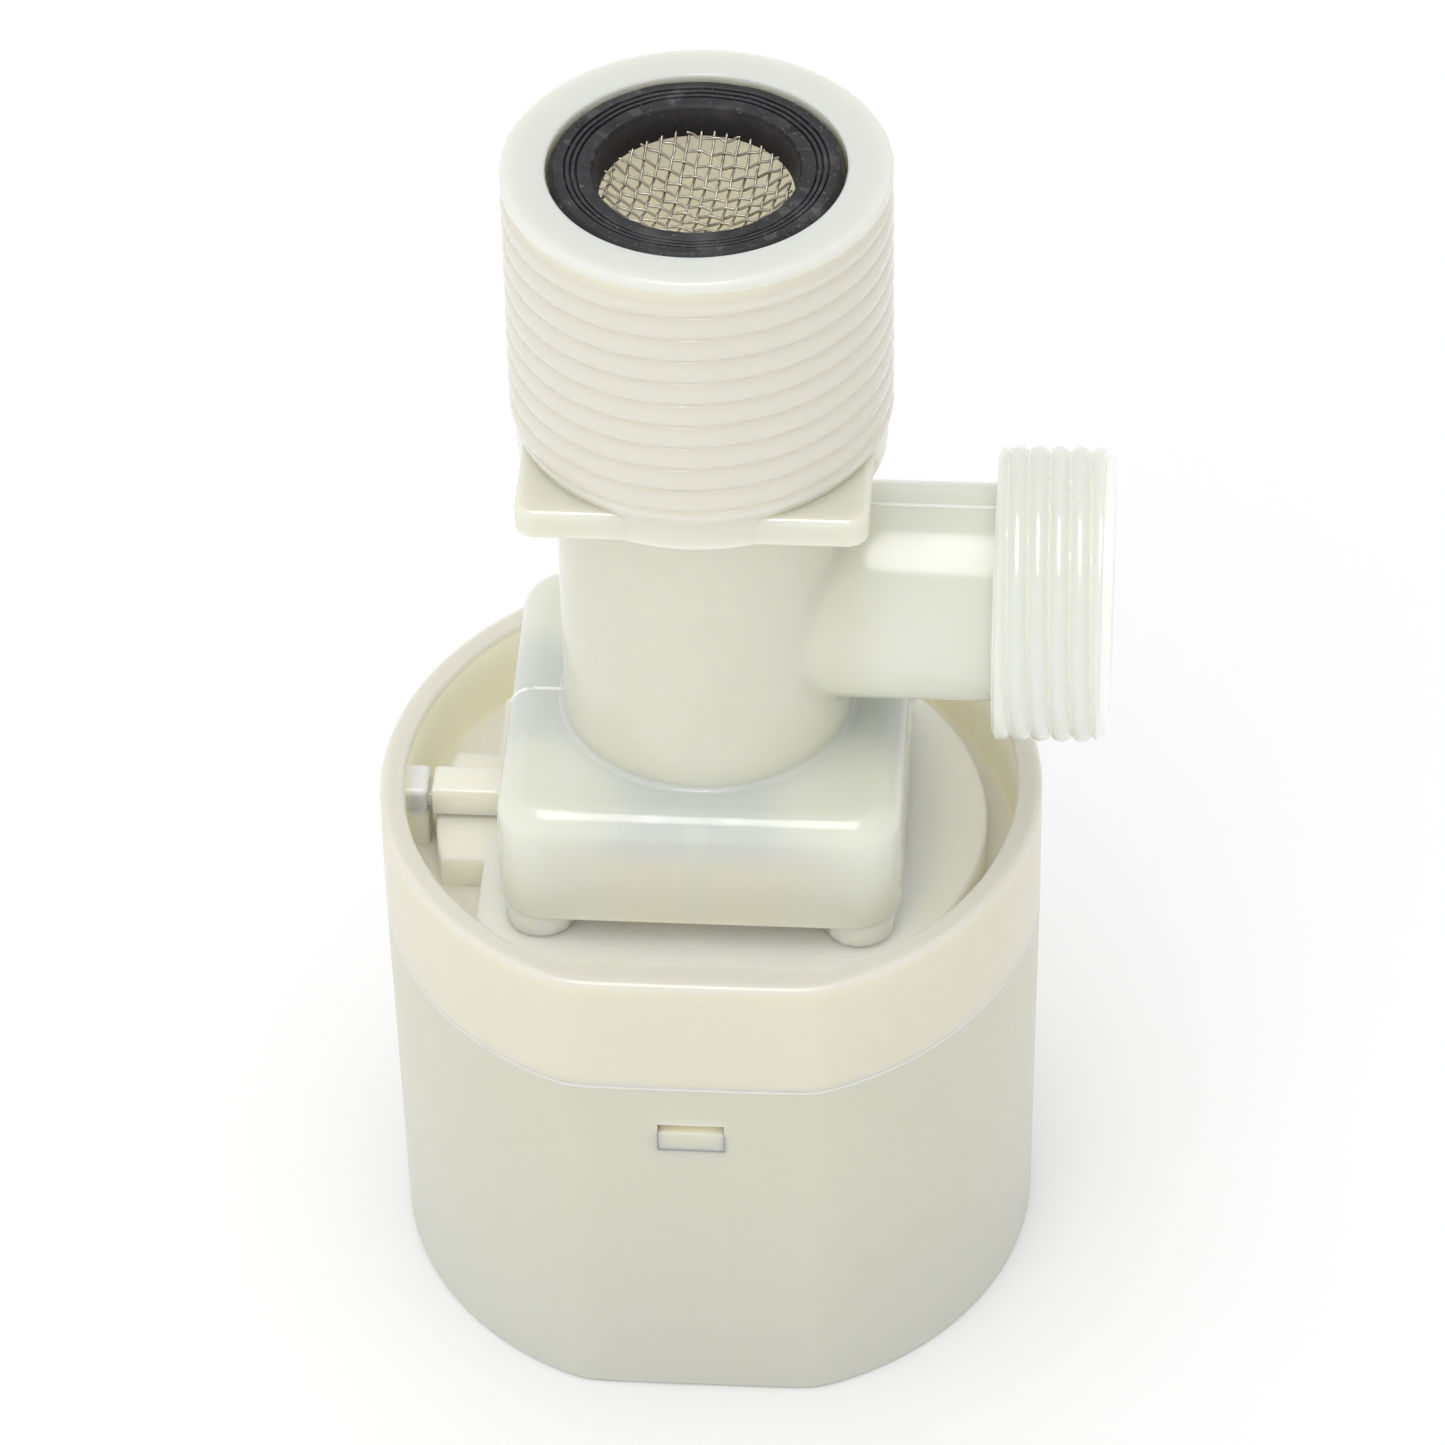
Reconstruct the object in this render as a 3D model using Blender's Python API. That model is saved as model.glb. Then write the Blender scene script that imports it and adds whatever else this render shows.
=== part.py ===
"""Pilot-operated float valve for a water tank, as separate pieces.

Frame: the origin is the centre of the float barrel's underside, +Z runs up the
valve's main axis to the threaded inlet, and +X points along the threaded side outlet.
The valve is modelled shut, with its float barrel raised against the upper stop.
Lengths in the constants are in millimetres, times MM, so that they are metres.
"""

import math

import bmesh
import bpy
from mathutils import Matrix, Vector

MM = 0.001
GAP = 0.3 * MM                        # clearance between pieces that touch

# Threaded inlet at the top (G 1 pipe thread) and outlet at the side (G 3/4).
INCH = 25.4 * MM
INLET_THREAD_R = 33.25 / 2 * MM
INLET_PITCH = INCH / 11
INLET_THREAD_DEPTH = 1.3 * MM
INLET_ROOT_R = INLET_THREAD_R - INLET_THREAD_DEPTH
OUTLET_THREAD_R = 13.0 * MM
OUTLET_PITCH = INCH / 14
OUTLET_THREAD_DEPTH = 1.1 * MM
OUTLET_ROOT_R = OUTLET_THREAD_R - OUTLET_THREAD_DEPTH

# Heights along the main axis.
INLET_TOP_Z = 119.9 * MM
THREAD_TOP_Z = 118.7 * MM
THREAD_END_Z = 96.2 * MM
FLANGE_TOP_Z = 93.8 * MM
FLANGE_BASE_Z = 91.0 * MM
OUTLET_Z = 73.86 * MM
CAP_TOP_Z = 60.93 * MM
CAP_BASE_Z = 49.0 * MM
RIM_Z = 50.97 * MM
PLATFORM_Z = 46.4 * MM                # raised middle of the barrel's basin
BASIN_Z = 43.1 * MM                   # floor of the moat round the platform
CUP_TOP_Z = 38.4 * MM

# Tee-shaped body.
TUBE_R = 12.95 * MM
TUBE_BORE_R = 10.6 * MM
INNER_PIPE_R = 8.0 * MM
INNER_BORE_R = 6.0 * MM
SEAT_Z = 56.3 * MM
INLET_BORE_R = 11.0 * MM
WASHER_BORE_R = 12.75 * MM
WASHER_LEDGE_Z = 116.4 * MM
FLANGE_HALF = 15.1 * MM
FLANGE_CORNER_R = 1.8 * MM
OUTLET_PIPE_R = 9.64 * MM
OUTLET_BORE_R = 7.4 * MM
OUTLET_COLLAR_X = 25.6 * MM
OUTLET_END_X = 35.9 * MM
CAP_HALF_X = 17.9 * MM
CAP_HALF_Y = 17.7 * MM
CAP_WALL = 1.8 * MM
CAP_CORNER_R = 4.25 * MM
CAP_EDGE_R = 2.0 * MM
CAP_PLATE = 2.0 * MM
CLAMP_RING_R = 15.3 * MM
CLAMP_BORE_R = 12.2 * MM
CLAMP_Z = 56.0 * MM

# Diaphragm group, on the main axis under the seat.
DIAPHRAGM_R = 15.1 * MM
PAD_R = 9.4 * MM
HUB_R = 2.6 * MM
NUT_R = 8.4 * MM
NUT_BASE_Z = 52.9 * MM
CORE_DISC_R = 5.2 * MM

# Pilot cover, screwed up into the cap.
COVER_BASE_Z = 49.4 * MM
COVER_TOP_Z = 51.2 * MM
COVER_HALF_X = CAP_HALF_X - CAP_WALL - 0.5 * MM
COVER_HALF_Y = CAP_HALF_Y - CAP_WALL - 0.5 * MM
SCREW_X = 13.0 * MM
SCREW_Y = 12.8 * MM
LUG_X = 14.2 * MM
LUG_Y = 14.1 * MM
LUG_R = 3.15 * MM
BOSS_R = 2.8 * MM
WELL_R = 5.2 * MM
WELL_BORE_R = 4.2 * MM
WELL_FLOOR_Z = 48.6 * MM
NOZZLE_X = -8.2 * MM
NOZZLE_TIP_Z = 46.9 * MM

# Pilot lever and its hinge.
HINGE_X = 6.0 * MM
HINGE_Z = 45.4 * MM
PIN_R = 0.8 * MM
PIN_HOLE_R = 1.0 * MM
LEVER_HALF_WIDTH = 3.5 * MM
ARM_HALF_WIDTH = 1.7 * MM
ARM_END_X = -25.1 * MM
ARM_TOP_Z = 49.7 * MM
ARM_BASE_Z = PLATFORM_Z + GAP

# Float barrel: an upper collar snapped into a lower cup, both with two flats.
BARREL_R = 30.0 * MM
BARREL_FLAT = 27.95 * MM
BARREL_BASE_R = 29.55 * MM
BARREL_BASE_FLAT = 27.6 * MM
BASIN_R = 27.74 * MM
BASIN_FLAT = 24.99 * MM
PLATFORM_R = 25.05 * MM
CUP_BORE_R = 27.3 * MM
CUP_BORE_FLAT = 25.2 * MM
SPIGOT_R = CUP_BORE_R - GAP
SPIGOT_FLAT = CUP_BORE_FLAT - GAP
SPIGOT_WALL = 1.8 * MM
FLOAT_TRAVEL = 5.0 * MM

MANY_CUTS = ("valve_body", "pilot_cover")

NYLON = (0.83, 0.83, 0.74)
NYLON_WARM = (0.86, 0.83, 0.74)
NYLON_CUP = (0.80, 0.81, 0.72)
RUBBER = (0.035, 0.035, 0.04)
SILICONE = (0.55, 0.30, 0.20)
STEEL = (0.62, 0.61, 0.58)
BRASS = (0.72, 0.56, 0.28)
FOAM = (0.88, 0.88, 0.86)


def clear_scene():
    """Start from nothing."""
    for old in list(bpy.data.objects):
        bpy.data.objects.remove(old, do_unlink=True)


def add_object(name, bm):
    """Turn a bmesh into a named, smooth-shaded object with its faces pointing out."""
    bmesh.ops.remove_doubles(bm, verts=bm.verts, dist=1e-7)
    bmesh.ops.recalc_face_normals(bm, faces=bm.faces)
    mesh = bpy.data.meshes.new(name)
    bm.to_mesh(mesh)
    bm.free()
    mesh.shade_smooth()
    mesh.set_sharp_from_angle(angle=math.radians(30))
    obj = bpy.data.objects.new(name, mesh)
    bpy.context.scene.collection.objects.link(obj)
    return obj


def bridge(bm, lower, upper):
    """Join two closed loops of the same length with a strip of faces."""
    count = len(lower)
    for i in range(count):
        j = (i + 1) % count
        corners = [lower[i], lower[j], upper[j], upper[i]]
        distinct = list(dict.fromkeys(corners))
        if len(distinct) > 2:
            bm.faces.new(distinct)


def flatted_circle(radius, flat, segments):
    """Points round a circle whose front and back are cut off at y = -flat and +flat."""
    if flat is None or flat >= radius:
        step = 2 * math.pi / segments
        return [(radius * math.cos(i * step), radius * math.sin(i * step)) for i in range(segments)]
    edge_angle = math.asin(flat / radius)
    arc_steps = segments // 2 - 4
    flat_steps = 4
    half_chord = radius * math.cos(edge_angle)
    right = []
    for i in range(arc_steps):
        angle = -edge_angle + 2 * edge_angle * i / arc_steps
        right.append((radius * math.cos(angle), radius * math.sin(angle)))
    back = [(half_chord - 2 * half_chord * i / flat_steps, flat) for i in range(flat_steps)]
    first_half = right + back
    return first_half + [(-x, -y) for x, y in first_half]


def turned(name, profile, segments=40):
    """Revolve a closed outline of (radius, z) or (radius, z, flat) points about Z.

    A radius of 0 closes the shape on the axis.
    """
    bm = bmesh.new()
    loops = []
    for point in profile:
        radius, height = point[0], point[1]
        flat = point[2] if len(point) > 2 else None
        if radius == 0:
            loops.append([bm.verts.new((0, 0, height))] * segments)
            continue
        outline = flatted_circle(radius, flat, segments)
        loops.append([bm.verts.new((x, y, height)) for x, y in outline])
    for here, after in zip(loops, loops[1:] + loops[:1]):
        if here[0] is here[1] and after[0] is after[1]:
            continue
        bridge(bm, here, after)
    return add_object(name, bm)


def rounded_box(name, half_x, half_y, z_low, z_high, corner_r, edge_r=0.0, centre_x=0.0):
    """A block with round upright corners and, optionally, a rounded top edge."""
    corner_steps = 6
    edge_steps = 4 if edge_r else 0
    levels = [(z_low, 0.0), (z_high - edge_r, 0.0)]
    for i in range(1, edge_steps + 1):
        angle = 0.5 * math.pi * i / edge_steps
        inset = edge_r * (1 - math.cos(angle))
        levels.append((z_high - edge_r + edge_r * math.sin(angle), inset))
    bm = bmesh.new()
    loops = []
    for height, inset in levels:
        radius = corner_r - inset
        loop = []
        for quarter in range(4):
            side_x = 1 if quarter in (0, 3) else -1
            side_y = 1 if quarter in (0, 1) else -1
            middle = (centre_x + side_x * (half_x - corner_r), side_y * (half_y - corner_r))
            for i in range(corner_steps + 1):
                angle = 0.5 * math.pi * (quarter + i / corner_steps)
                x = middle[0] + radius * math.cos(angle)
                y = middle[1] + radius * math.sin(angle)
                loop.append(bm.verts.new((x, y, height)))
        loops.append(loop)
    for lower, upper in zip(loops, loops[1:]):
        bridge(bm, lower, upper)
    bm.faces.new(loops[0])
    bm.faces.new(loops[-1])
    return add_object(name, bm)


def block(name, low, high):
    """A plain box from its lowest to its highest corner."""
    bm = bmesh.new()
    size = Vector(high) - Vector(low)
    middle = (Vector(high) + Vector(low)) / 2
    shape = Matrix.Translation(middle) @ Matrix.Diagonal((*size, 1))
    bmesh.ops.create_cube(bm, size=1, matrix=shape)
    return add_object(name, bm)


def rod(name, radius, start, length, axis="Z", segments=20):
    """A round bar from start, running the given way along X, Y or Z."""
    bar = turned(name, [(0, 0), (radius, 0), (radius, length), (0, length)], segments)
    turns = {
        "Z": Matrix.Identity(4),
        "X": Matrix.Rotation(math.pi / 2, 4, "Y"),
        "Y": Matrix.Rotation(-math.pi / 2, 4, "X"),
    }
    bar.data.transform(Matrix.Translation(start) @ turns[axis])
    return bar


def side_plate(name, outline, y_low, y_high):
    """An outline of (x, z) points made into a plate between two y values."""
    bm = bmesh.new()
    near = [bm.verts.new((x, y_low, z)) for x, z in outline]
    far = [bm.verts.new((x, y_high, z)) for x, z in outline]
    bridge(bm, near, far)
    bm.faces.new(near)
    bm.faces.new(far)
    return add_object(name, bm)


def arc_points(centre, radius, start_deg, end_deg, steps=8):
    """Points on an arc in a plane, from one angle to another."""
    points = []
    for i in range(steps + 1):
        angle = math.radians(start_deg + (end_deg - start_deg) * i / steps)
        points.append((centre[0] + radius * math.cos(angle), centre[1] + radius * math.sin(angle)))
    return points


def helical_ridge(name, root_r, crest_r, pitch, z_low, z_high, steps_per_turn=24):
    """A screw-thread ridge that fades in and out over its first and last quarter turn."""
    base_half = 0.44 * pitch
    crest_half = 0.12 * pitch
    buried = 0.5 * MM
    flank_run = (base_half - crest_half) / (crest_r - root_r)
    z_first = z_low + base_half
    turns = (z_high - z_low - 2 * base_half) / pitch
    steps = int(turns * steps_per_turn)
    fade_steps = steps_per_turn // 4
    bm = bmesh.new()
    sections = []
    for step in range(steps + 1):
        angle = 2 * math.pi * step / steps_per_turn
        height = z_first + pitch * step / steps_per_turn
        rise = min(1.0, step / fade_steps, (steps - step) / fade_steps)
        tip_r = root_r - 0.2 * MM + (crest_r - root_r + 0.2 * MM) * rise
        half_base = crest_half + flank_run * (tip_r - root_r + buried)
        section = [
            (root_r - buried, height - half_base),
            (tip_r, height - crest_half),
            (tip_r, height + crest_half),
            (root_r - buried, height + half_base),
        ]
        turn = Matrix.Rotation(angle, 4, "Z")
        sections.append([bm.verts.new(turn @ Vector((r, 0, z))) for r, z in section])
    for here, after in zip(sections, sections[1:]):
        bridge(bm, here, after)
    bm.faces.new(sections[0])
    bm.faces.new(sections[-1])
    return add_object(name, bm)


def use_helper(target, helper, operation):
    """Join a helper shape to a piece, or cut it out of the piece.

    The pieces with many cuts use the MANIFOLD solver, because EXACT leaves open edges on them.
    """
    helper.hide_render = True
    helper.display_type = "WIRE"
    modifier = target.modifiers.new(helper.name, "BOOLEAN")
    modifier.operation = operation
    modifier.object = helper
    modifier.solver = "MANIFOLD" if target.name in MANY_CUTS else "EXACT"


def join(target, *helpers):
    """Join helper shapes to a piece."""
    for helper in helpers:
        use_helper(target, helper, "UNION")


def cut(target, *helpers):
    """Cut helper shapes out of a piece."""
    for helper in helpers:
        use_helper(target, helper, "DIFFERENCE")


def finish(obj, colour, roughness, metallic=0.0):
    """Give a piece its own material."""
    material = bpy.data.materials.new(obj.name)
    material.use_nodes = True
    shader = material.node_tree.nodes["Principled BSDF"]
    shader.inputs["Base Color"].default_value = (*colour, 1)
    shader.inputs["Roughness"].default_value = roughness
    shader.inputs["Metallic"].default_value = metallic
    obj.data.materials.clear()
    obj.data.materials.append(material)


def corners(half_x, half_y):
    """The four points of a rectangle round the main axis."""
    return [(sx * half_x, sy * half_y) for sx in (-1, 1) for sy in (-1, 1)]


def lie_along_x(obj, height):
    """Turn a shape made about Z so that it lies along +X at a height."""
    obj.data.transform(Matrix.Translation((0, 0, height)) @ Matrix.Rotation(math.pi / 2, 4, "Y"))


def make_valve_body():
    """Tee with threaded inlet and outlet, wrench flange, and square cap, in one moulding."""
    rim_edge = 0.4 * MM
    body = turned("valve_body", [
        (0, CAP_TOP_Z - 1 * MM),
        (TUBE_R, CAP_TOP_Z - 1 * MM),
        (TUBE_R, FLANGE_BASE_Z + 1 * MM),
        (INLET_ROOT_R, FLANGE_BASE_Z + 1 * MM),
        (INLET_ROOT_R, THREAD_TOP_Z),
        (INLET_THREAD_R, THREAD_TOP_Z),
        (INLET_THREAD_R, INLET_TOP_Z - rim_edge),
        (INLET_THREAD_R - rim_edge, INLET_TOP_Z),
        (0, INLET_TOP_Z),
    ])
    flange = rounded_box("flange_shape", FLANGE_HALF, FLANGE_HALF, FLANGE_BASE_Z, FLANGE_TOP_Z,
                         FLANGE_CORNER_R)
    side_pipe = turned("side_pipe_shape", [
        (0, 0),
        (OUTLET_PIPE_R, 0),
        (OUTLET_PIPE_R, OUTLET_COLLAR_X),
        (OUTLET_ROOT_R, OUTLET_COLLAR_X),
        (OUTLET_ROOT_R, OUTLET_END_X),
        (0, OUTLET_END_X),
    ], 32)
    lie_along_x(side_pipe, OUTLET_Z)
    cap = rounded_box("cap_shape", CAP_HALF_X, CAP_HALF_Y, CAP_BASE_Z, CAP_TOP_Z,
                      CAP_CORNER_R, CAP_EDGE_R)
    join(body, flange, side_pipe, cap)
    hollow_body(body)
    inlet_thread = helical_ridge("inlet_thread_shape", INLET_ROOT_R, INLET_THREAD_R, INLET_PITCH,
                                 THREAD_END_Z, THREAD_TOP_Z)
    outlet_thread = helical_ridge("outlet_thread_shape", OUTLET_ROOT_R, OUTLET_THREAD_R, OUTLET_PITCH,
                                  OUTLET_COLLAR_X + 0.15 * MM, OUTLET_END_X - 0.15 * MM, 20)
    lie_along_x(outlet_thread, OUTLET_Z)
    join(body, inlet_thread, outlet_thread)
    finish(body, NYLON, 0.35)


def hollow_body(body):
    """Water ways, diaphragm seat, clamping ring, screw bosses and ribs inside the body."""
    plate_z = CAP_TOP_Z - CAP_PLATE
    inside_x = CAP_HALF_X - CAP_WALL
    inside_y = CAP_HALF_Y - CAP_WALL
    cavity = rounded_box("cap_hollow_shape", inside_x, inside_y, CAP_BASE_Z - 1 * MM, plate_z,
                         CAP_CORNER_R - CAP_WALL)
    ring_duct = rod("ring_duct_shape", TUBE_BORE_R, (0, 0, plate_z - 0.5 * MM), 25.6 * MM, segments=40)
    cut(body, cavity, ring_duct)
    inner_pipe = turned("inner_pipe_shape", [
        (0, SEAT_Z),
        (INNER_PIPE_R - 0.7 * MM, SEAT_Z),
        (INNER_PIPE_R, SEAT_Z + 0.7 * MM),
        (INNER_PIPE_R, 85 * MM),
        (0, 85 * MM),
    ], 32)
    ring = turned("clamp_ring_shape", [
        (CLAMP_BORE_R, CLAMP_Z),
        (CLAMP_RING_R, CLAMP_Z),
        (CLAMP_RING_R, plate_z + 0.5 * MM),
        (CLAMP_BORE_R, plate_z + 0.5 * MM),
    ])
    join(body, inner_pipe, ring)
    for number, (x, y) in enumerate(corners(SCREW_X, SCREW_Y), 1):
        boss = rod(f"body_boss_shape_{number}", 3.2 * MM, (x, y, CLAMP_Z + 0.1 * MM), 3.3 * MM, segments=14)
        join(body, boss)
    rib_half = 0.7 * MM
    for side in (-1, 1):
        rib = block(f"cap_rib_shape_{side + 2}",
                    (-rib_half, min(side * 15.55 * MM, side * 16.2 * MM), 51.7 * MM),
                    (rib_half, max(side * 15.55 * MM, side * 16.2 * MM), plate_z + 0.5 * MM))
        join(body, rib)
    inlet_way = turned("inlet_way_shape", [
        (0, 50 * MM),
        (INNER_BORE_R, 50 * MM),
        (INNER_BORE_R, 88 * MM),
        (INLET_BORE_R, 93 * MM),
        (INLET_BORE_R, WASHER_LEDGE_Z),
        (WASHER_BORE_R, WASHER_LEDGE_Z),
        (WASHER_BORE_R, INLET_TOP_Z + 1 * MM),
        (0, INLET_TOP_Z + 1 * MM),
    ])
    outlet_mouth_r = 9.4 * MM
    outlet_way = turned("outlet_way_shape", [
        (0, INNER_PIPE_R + GAP),
        (OUTLET_BORE_R, INNER_PIPE_R + GAP),
        (OUTLET_BORE_R, OUTLET_END_X - 6.4 * MM),
        (outlet_mouth_r, OUTLET_END_X - 6.4 * MM),
        (outlet_mouth_r, OUTLET_END_X + 1 * MM),
        (0, OUTLET_END_X + 1 * MM),
    ], 32)
    lie_along_x(outlet_way, OUTLET_Z)
    cut(body, inlet_way, outlet_way)
    for number, (x, y) in enumerate(corners(SCREW_X, SCREW_Y), 1):
        cut(body, rod(f"body_screw_hole_{number}", 1.4 * MM, (x, y, 55 * MM), 4 * MM, segments=12))


def make_inlet_washer():
    """Ribbed rubber washer with a dished face, in the mouth of the inlet."""
    outer_r = 11.95 * MM
    hole_r = 8.25 * MM
    base_z = WASHER_LEDGE_Z + GAP
    top_z = INLET_TOP_Z - 0.2 * MM
    profile = [(hole_r, base_z), (outer_r, base_z), (outer_r, top_z - 0.3 * MM), (outer_r - 0.3 * MM, top_z)]
    step_width = 0.95 * MM
    for step in range(3):
        step_r = outer_r - (step + 1) * step_width
        step_z = top_z - step * 0.35 * MM
        profile += [(step_r, step_z), (step_r - 0.1 * MM, step_z - 0.35 * MM)]
    profile.append((hole_r, top_z - 1.2 * MM))
    washer = turned("inlet_washer", profile, 32)
    finish(washer, RUBBER, 0.75)


def make_inlet_strainer():
    """Dished wire screen that hangs in the washer's hole."""
    radius = 7.85 * MM
    rim_z = 117.9 * MM
    depth = 3.6 * MM
    cells = 10
    pitch = 2 * radius / cells
    bm = bmesh.new()
    corner_verts = {}

    def corner(column, row):
        if (column, row) not in corner_verts:
            x = -radius + column * pitch
            y = -radius + row * pitch
            corner_verts[column, row] = bm.verts.new((x, y, 0))
        return corner_verts[column, row]

    for column in range(cells):
        for row in range(cells):
            x = -radius + (column + 0.5) * pitch
            y = -radius + (row + 0.5) * pitch
            if math.hypot(x, y) < radius - 0.35 * pitch:
                bm.faces.new([corner(column, row), corner(column + 1, row),
                              corner(column + 1, row + 1), corner(column, row + 1)])
    for vert in bm.verts:
        reach = math.hypot(vert.co.x, vert.co.y)
        if vert.is_boundary:
            vert.co.x *= radius / reach
            vert.co.y *= radius / reach
            reach = radius
        vert.co.z = rim_z - depth * (1 - (reach / radius) ** 2)
    screen = add_object("inlet_strainer", bm)
    wires = screen.modifiers.new("wires", "WIREFRAME")
    wires.thickness = 0.32 * MM
    wires.use_replace = True
    wires.use_boundary = True
    finish(screen, STEEL, 0.3, 1.0)


def make_diaphragm():
    """Rubber diaphragm: a thick pad that shuts the seat, a thin web and a clamped bead."""
    diaphragm = turned("diaphragm", [
        (HUB_R + GAP, 54.4 * MM),
        (PAD_R, 54.4 * MM),
        (PAD_R + 0.4 * MM, 54.7 * MM),
        (CLAMP_BORE_R, 54.7 * MM),
        (CLAMP_BORE_R + 0.2 * MM, 54.0 * MM),
        (DIAPHRAGM_R, 54.0 * MM),
        (DIAPHRAGM_R, CLAMP_Z - GAP),
        (CLAMP_BORE_R + 0.2 * MM, CLAMP_Z - GAP),
        (CLAMP_BORE_R, 55.3 * MM),
        (PAD_R + 0.4 * MM, 55.3 * MM),
        (PAD_R, SEAT_Z - GAP),
        (HUB_R + GAP, SEAT_Z - GAP),
    ], 32)
    finish(diaphragm, SILICONE, 0.6)


def make_diaphragm_core():
    """Plunger that carries the diaphragm, with a bleed hole and guide fins in the inlet pipe."""
    disc_top = SEAT_Z + 1 * MM
    stem_top = disc_top + 5.2 * MM
    stem_r = 1.9 * MM
    bleed_r = 0.9 * MM
    core = turned("diaphragm_core", [
        (bleed_r, NUT_BASE_Z - 0.2 * MM),
        (HUB_R, NUT_BASE_Z - 0.2 * MM),
        (HUB_R, SEAT_Z),
        (CORE_DISC_R, SEAT_Z),
        (CORE_DISC_R, disc_top),
        (stem_r, disc_top),
        (stem_r, stem_top),
        (bleed_r, stem_top),
    ], 24)
    fin_half = 0.5 * MM
    for number in range(3):
        fin = block(f"core_fin_shape_{number + 1}",
                    (stem_r - 0.5 * MM, -fin_half, disc_top - 0.4 * MM),
                    (INNER_BORE_R - 0.45 * MM, fin_half, stem_top - 0.2 * MM))
        fin.data.transform(Matrix.Rotation(2 * math.pi * number / 3, 4, "Z"))
        join(core, fin)
    finish(core, NYLON, 0.4)


def make_backing_nut():
    """Disc that screws on the core and backs the diaphragm's pad."""
    nut = turned("backing_nut", [
        (HUB_R + GAP, NUT_BASE_Z),
        (NUT_R - 0.3 * MM, NUT_BASE_Z),
        (NUT_R, NUT_BASE_Z + 0.3 * MM),
        (NUT_R, 54.1 * MM),
        (HUB_R + GAP, 54.1 * MM),
    ], 32)
    finish(nut, NYLON, 0.4)


def make_closing_spring():
    """Small coil spring between the cover's well and the backing nut."""
    wire_r = 0.3 * MM
    coil_r = 3.6 * MM
    z_low = WELL_FLOOR_Z + GAP + wire_r
    z_high = NUT_BASE_Z - GAP - wire_r
    turns = 3.5
    steps = 42
    sides = 5
    bm = bmesh.new()
    rings = []
    for step in range(steps + 1):
        share = step / steps
        angle = 2 * math.pi * turns * share
        outward = Vector((math.cos(angle), math.sin(angle), 0))
        middle = outward * coil_r + Vector((0, 0, z_low + (z_high - z_low) * share))
        ring = []
        for side in range(sides):
            around = 2 * math.pi * side / sides
            offset = outward * math.cos(around) + Vector((0, 0, math.sin(around)))
            ring.append(bm.verts.new(middle + offset * wire_r))
        rings.append(ring)
    for here, after in zip(rings, rings[1:]):
        bridge(bm, here, after)
    bm.faces.new(rings[0])
    bm.faces.new(rings[-1])
    finish(add_object("closing_spring", bm), STEEL, 0.3, 1.0)


def make_bleed_needle():
    """Wire that stands in the cover and keeps the core's bleed hole clear."""
    needle_r = 0.5 * MM
    needle = turned("bleed_needle", [
        (0, WELL_FLOOR_Z - 0.3 * MM),
        (needle_r, WELL_FLOOR_Z - 0.3 * MM),
        (needle_r, 59.4 * MM),
        (0, 60 * MM),
    ], 10)
    finish(needle, STEEL, 0.3, 1.0)


def make_pilot_cover():
    """Cover under the diaphragm: clamping ring, spring well, lugs, hinge ears and guide legs."""
    cover = rounded_box("pilot_cover", COVER_HALF_X, COVER_HALF_Y, COVER_BASE_Z, COVER_TOP_Z, 2.2 * MM)
    ring = turned("cover_ring_shape", [
        (CLAMP_BORE_R + 0.2 * MM, COVER_TOP_Z - 0.4 * MM),
        (CLAMP_RING_R - 0.1 * MM, COVER_TOP_Z - 0.4 * MM),
        (CLAMP_RING_R - 0.1 * MM, 53.7 * MM),
        (CLAMP_BORE_R + 0.2 * MM, 53.7 * MM),
    ], 32)
    well = rod("well_shape", WELL_R, (0, 0, WELL_FLOOR_Z - 1.2 * MM), 2.5 * MM, segments=24)
    join(cover, ring, well)
    foot_z = PLATFORM_Z + GAP
    for number, (x, y) in enumerate(corners(1, 1), 1):
        boss = rod(f"cover_boss_shape_{number}", BOSS_R, (x * SCREW_X, y * SCREW_Y, foot_z),
                   CLAMP_Z - GAP - foot_z, segments=14)
        lug = rod(f"cover_lug_shape_{number}", LUG_R, (x * LUG_X, y * LUG_Y, foot_z - 0.05 * MM),
                  CAP_BASE_Z - GAP - foot_z, segments=16)
        join(cover, boss, lug)
    ear_r = 1.9 * MM
    ear_outline = [(HINGE_X - ear_r, COVER_BASE_Z + 0.5 * MM)]
    ear_outline += arc_points((HINGE_X, HINGE_Z), ear_r, 180, 360)
    ear_outline += [(HINGE_X + ear_r, COVER_BASE_Z + 0.5 * MM)]
    leg_top = COVER_BASE_Z + 0.5 * MM
    toe_top = PLATFORM_Z - 1.7 * MM - FLOAT_TRAVEL - 0.4 * MM
    for side in (-1, 1):
        inner = side * (LEVER_HALF_WIDTH + GAP)
        outer = side * 5.6 * MM
        join(cover, side_plate(f"hinge_ear_shape_{side + 2}", ear_outline,
                               min(inner, outer), max(inner, outer)))
        join(cover, guide_leg(f"guide_leg_shape_{side + 2}", side, leg_top, toe_top))
    cut_cover_holes(cover)
    finish(cover, NYLON, 0.4)


def guide_leg(name, side, leg_top, toe_top):
    """A leg that guides the barrel, with a toe that stops its fall."""
    toe_reach = 1.3 * MM
    leg = side_plate(name, [
        (10.0 * MM, leg_top),
        (10.0 * MM, toe_top - 2.7 * MM),
        (12.0 * MM, toe_top - 2.7 * MM),
        (12.0 * MM + toe_reach, toe_top - 1.2 * MM),
        (12.0 * MM + toe_reach, toe_top),
        (12.0 * MM, toe_top),
        (12.0 * MM, leg_top),
    ], -3.5 * MM, 3.5 * MM)
    leg.data.transform(Matrix.Rotation(side * math.pi / 2, 4, "Z"))
    return leg


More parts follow.
